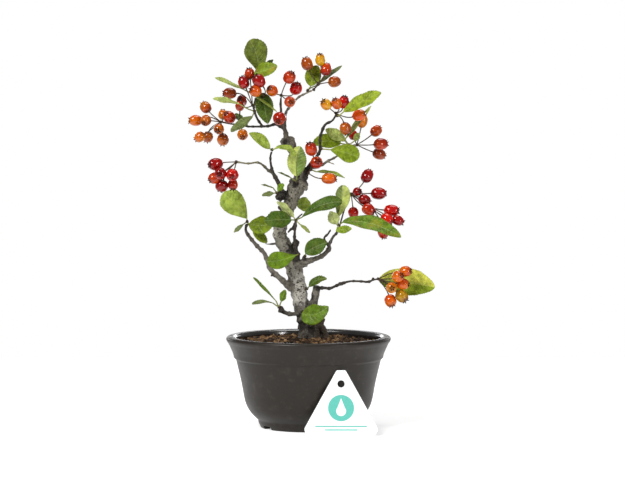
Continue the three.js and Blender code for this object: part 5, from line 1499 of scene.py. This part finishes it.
def build_soil(finish):
    """A bed of soil with loose granules lying close together on it."""
    rng = random.Random(SOIL.seed)
    edge, spacing, shift = SOIL.edge_radius, SOIL.grain_spacing, SOIL.grain_shift
    shape = Shape()
    # The bed's near-black colour is painted shade in the gaps between the granules.
    shape.add(*soil_bed(), 0, linear(SOIL_GAP_SHADE))
    tones = [linear(tone) for tone in SOIL_TONES]
    rows = int(edge / spacing / SOIL.row_share) + 1
    columns = rows + SOIL.spare_columns
    for row in range(-rows, rows + 1):
        for column in range(-columns, columns + 1):
            x = (column + 0.5 * (row % 2)) * spacing + rng.uniform(-shift, shift)
            y = row * spacing * SOIL.row_share + rng.uniform(-shift, shift)
            size = rng.uniform(*SOIL.grain_radius)
            if math.hypot(x, y) > edge - size * SOIL.grain_inside:
                continue
            height = soil_height(x, y) - SOIL.grain_sink + rng.uniform(*SOIL.grain_lift)
            radii = [size * rng.uniform(*SOIL.grain_stretch) for _ in range(3)]
            centre = np.array([x, y, height - max(0, radii[2] - SOIL.grain_crest)])
            seed = rng.uniform(0, SOIL.grain_seeds)
            grain, faces = lump_body(np.zeros(3), radii, 2, SOIL.grain_rough, seed)
            turn = np.array(Quaternion([rng.gauss(0, 1) for _ in range(4)]).normalized().to_matrix())
            tone = tones[rng.randrange(len(tones))] * rng.uniform(*SOIL.grain_tone)
            shape.add(grain @ turn.T + centre, faces, 0, tone)
    place_piece("SoilGranules", shape.mesh("SoilGranules", [finish]), "soil")


def tag_outline():
    """The card's outline and its round hole, across and up."""
    height, corner, out = TAG.height, TAG.corner_height, TAG.corner_round
    half_width, half_foot, half_top = TAG.width / 2, TAG.foot_width / 2, TAG.top_width / 2
    slope = (half_width - half_top) / (height - corner)
    shoulder = half_top + slope * TAG.shoulder_drop
    foot = bezier([(half_foot, 0), (half_width + out, corner / 2), (half_width, corner)], TAG.foot_points)
    top = [(shoulder, height - TAG.shoulder_drop), (half_top, height), (half_top - out, height)]
    right = np.vstack([foot, bezier(top, TAG.top_points)])
    angles = np.linspace(0, 2 * math.pi, TAG.hole_points, endpoint=False)
    hole = np.column_stack([np.cos(angles), np.sin(angles)]) * TAG.hole_radius
    return np.vstack([right, right[::-1] * (-1, 1)]), hole + (0, height - TAG.hole_drop)


def build_tag(finish):
    """The card: its outline with the hole, given thickness, softened edges and its lean."""
    build = bmesh.new()
    edges = []
    for loop in tag_outline():
        corners = [build.verts.new((x * MM, y * MM, 0)) for x, y in loop]
        edges += [build.edges.new((a, b)) for a, b in zip(corners, corners[1:] + corners[:1])]
    bmesh.ops.triangle_fill(build, use_beauty=True, use_dissolve=False, edges=edges)
    extruded = bmesh.ops.extrude_face_region(build, geom=list(build.faces))
    lifted = [item for item in extruded["geom"] if isinstance(item, bmesh.types.BMVert)]
    bmesh.ops.translate(build, verts=lifted, vec=(0, 0, TAG.thickness * MM))
    bmesh.ops.recalc_face_normals(build, faces=build.faces)
    sharp = [edge for edge in build.edges if edge.calc_face_angle(0) > math.radians(TAG.sharp_edge)]
    width = TAG.edge_round * MM
    bmesh.ops.bevel(build, geom=sharp, offset=width, segments=2, profile=0.5, affect="EDGES")
    lean = math.atan2(TAG.head_depth - TAG.foot_depth, TAG.height)
    turn = Matrix.Rotation(math.pi / 2 - lean, 4, "X")
    move = Vector((TAG.across, TAG.foot_depth, TAG.thickness * math.sin(lean))) * MM
    bmesh.ops.transform(build, matrix=Matrix.Translation(move) @ turn, verts=build.verts)
    mesh = bpy.data.meshes.new("TagCard")
    build.to_mesh(mesh)
    build.free()
    mesh.materials.append(finish)
    place_piece("TagCard", mesh, "tag")


# Studio


def build_world():
    """Soft light from all round, with a white ground behind the plant."""
    world = bpy.data.worlds.new("Studio")
    world.use_nodes = True
    tree = world.node_tree
    light = tree.nodes["Background"]
    paper = tree.nodes.new("ShaderNodeBackground")
    light.inputs["Strength"].default_value = SURROUND
    paths = tree.nodes.new("ShaderNodeLightPath")
    choice = tree.nodes.new("ShaderNodeMixShader")
    tree.links.new(paths.outputs["Is Camera Ray"], choice.inputs[0])
    for socket, ground in enumerate((light, paper), 1):
        ground.inputs["Color"].default_value = WHITE
        tree.links.new(ground.outputs[0], choice.inputs[socket])
    tree.links.new(choice.outputs[0], tree.nodes["World Output"].inputs["Surface"])
    bpy.context.scene.world = world


def build_floor():
    mesh = bpy.data.meshes.new("Floor")
    corners = [(x * FLOOR_REACH, y * FLOOR_REACH, 0) for x, y in [(-1, -1), (1, -1), (1, 1), (-1, 1)]]
    mesh.from_pydata(corners, [], [(0, 1, 2, 3)])
    looks = {"base_color": rgba(DYES["paper"]), "emission_color": WHITE, "emission_strength": FLOOR_GLOW}
    finish = Finish("FloorPaper", roughness=0.9, specular_ior_level=0.0, **looks)
    mesh.materials.append(finish.material)
    floor = stand("Floor", mesh)


def aimed(item, place, aim):
    """Stands an object at a place, turned to look at another."""
    item.location = place
    item.rotation_euler = (aim - item.location).to_track_quat("-Z", "Y").to_euler()


def build_lights():
    for name, light in LIGHTS.items():
        data = bpy.data.lights.new(name, "AREA")
        data.shape = "RECTANGLE"
        data.size, data.size_y = light["size"]
        data.energy = light["power"]
        aimed(stand(name, data), light["place"], Vector(LIGHT_AIM))


def build_camera():
    data = bpy.data.cameras.new("Camera")
    data.sensor_width = VIEW.sensor_mm
    eye = Vector((EYE.across, -EYE.distance, EYE.up)) * MM
    aim = Vector((EYE.across, 0, VIEW.aim_up)) * MM
    data.lens = VIEW.sensor_mm * (aim - eye).length / (VIEW.across_mm * MM)
    data.clip_end = VIEW.clip_end
    camera = stand("Camera", data)
    aimed(camera, eye, aim)
    bpy.context.scene.camera = camera


bpy.context.scene.view_settings.view_transform = "Standard"
build_world()
build_floor()
build_lights()
build_camera()

build_pot([pot_finish(name, **look) for name, look in POT_LOOKS.items()])
build_soil(soil_finish())
build_tag(tag_finish())
build_trunk(bark_finish())

stalk_skin = stalk_finish()
leaf_skins = [leaf_finish(name, **skin) for name, skin in LEAF_SKINS.items()]
leaf_skins.append(stalk_skin)
berry_skins = [berry_finish(), stalk_skin]
for seed, (node, spray) in enumerate(SPRAYS.items(), FIRST_SPRAY_SEED):
    build_spray(node, *spray, leaf_skins, seed)
for seed, (node, bunch) in enumerate(BUNCHES.items(), FIRST_BUNCH_SEED):
    build_bunch(node, *bunch, berry_skins, seed)
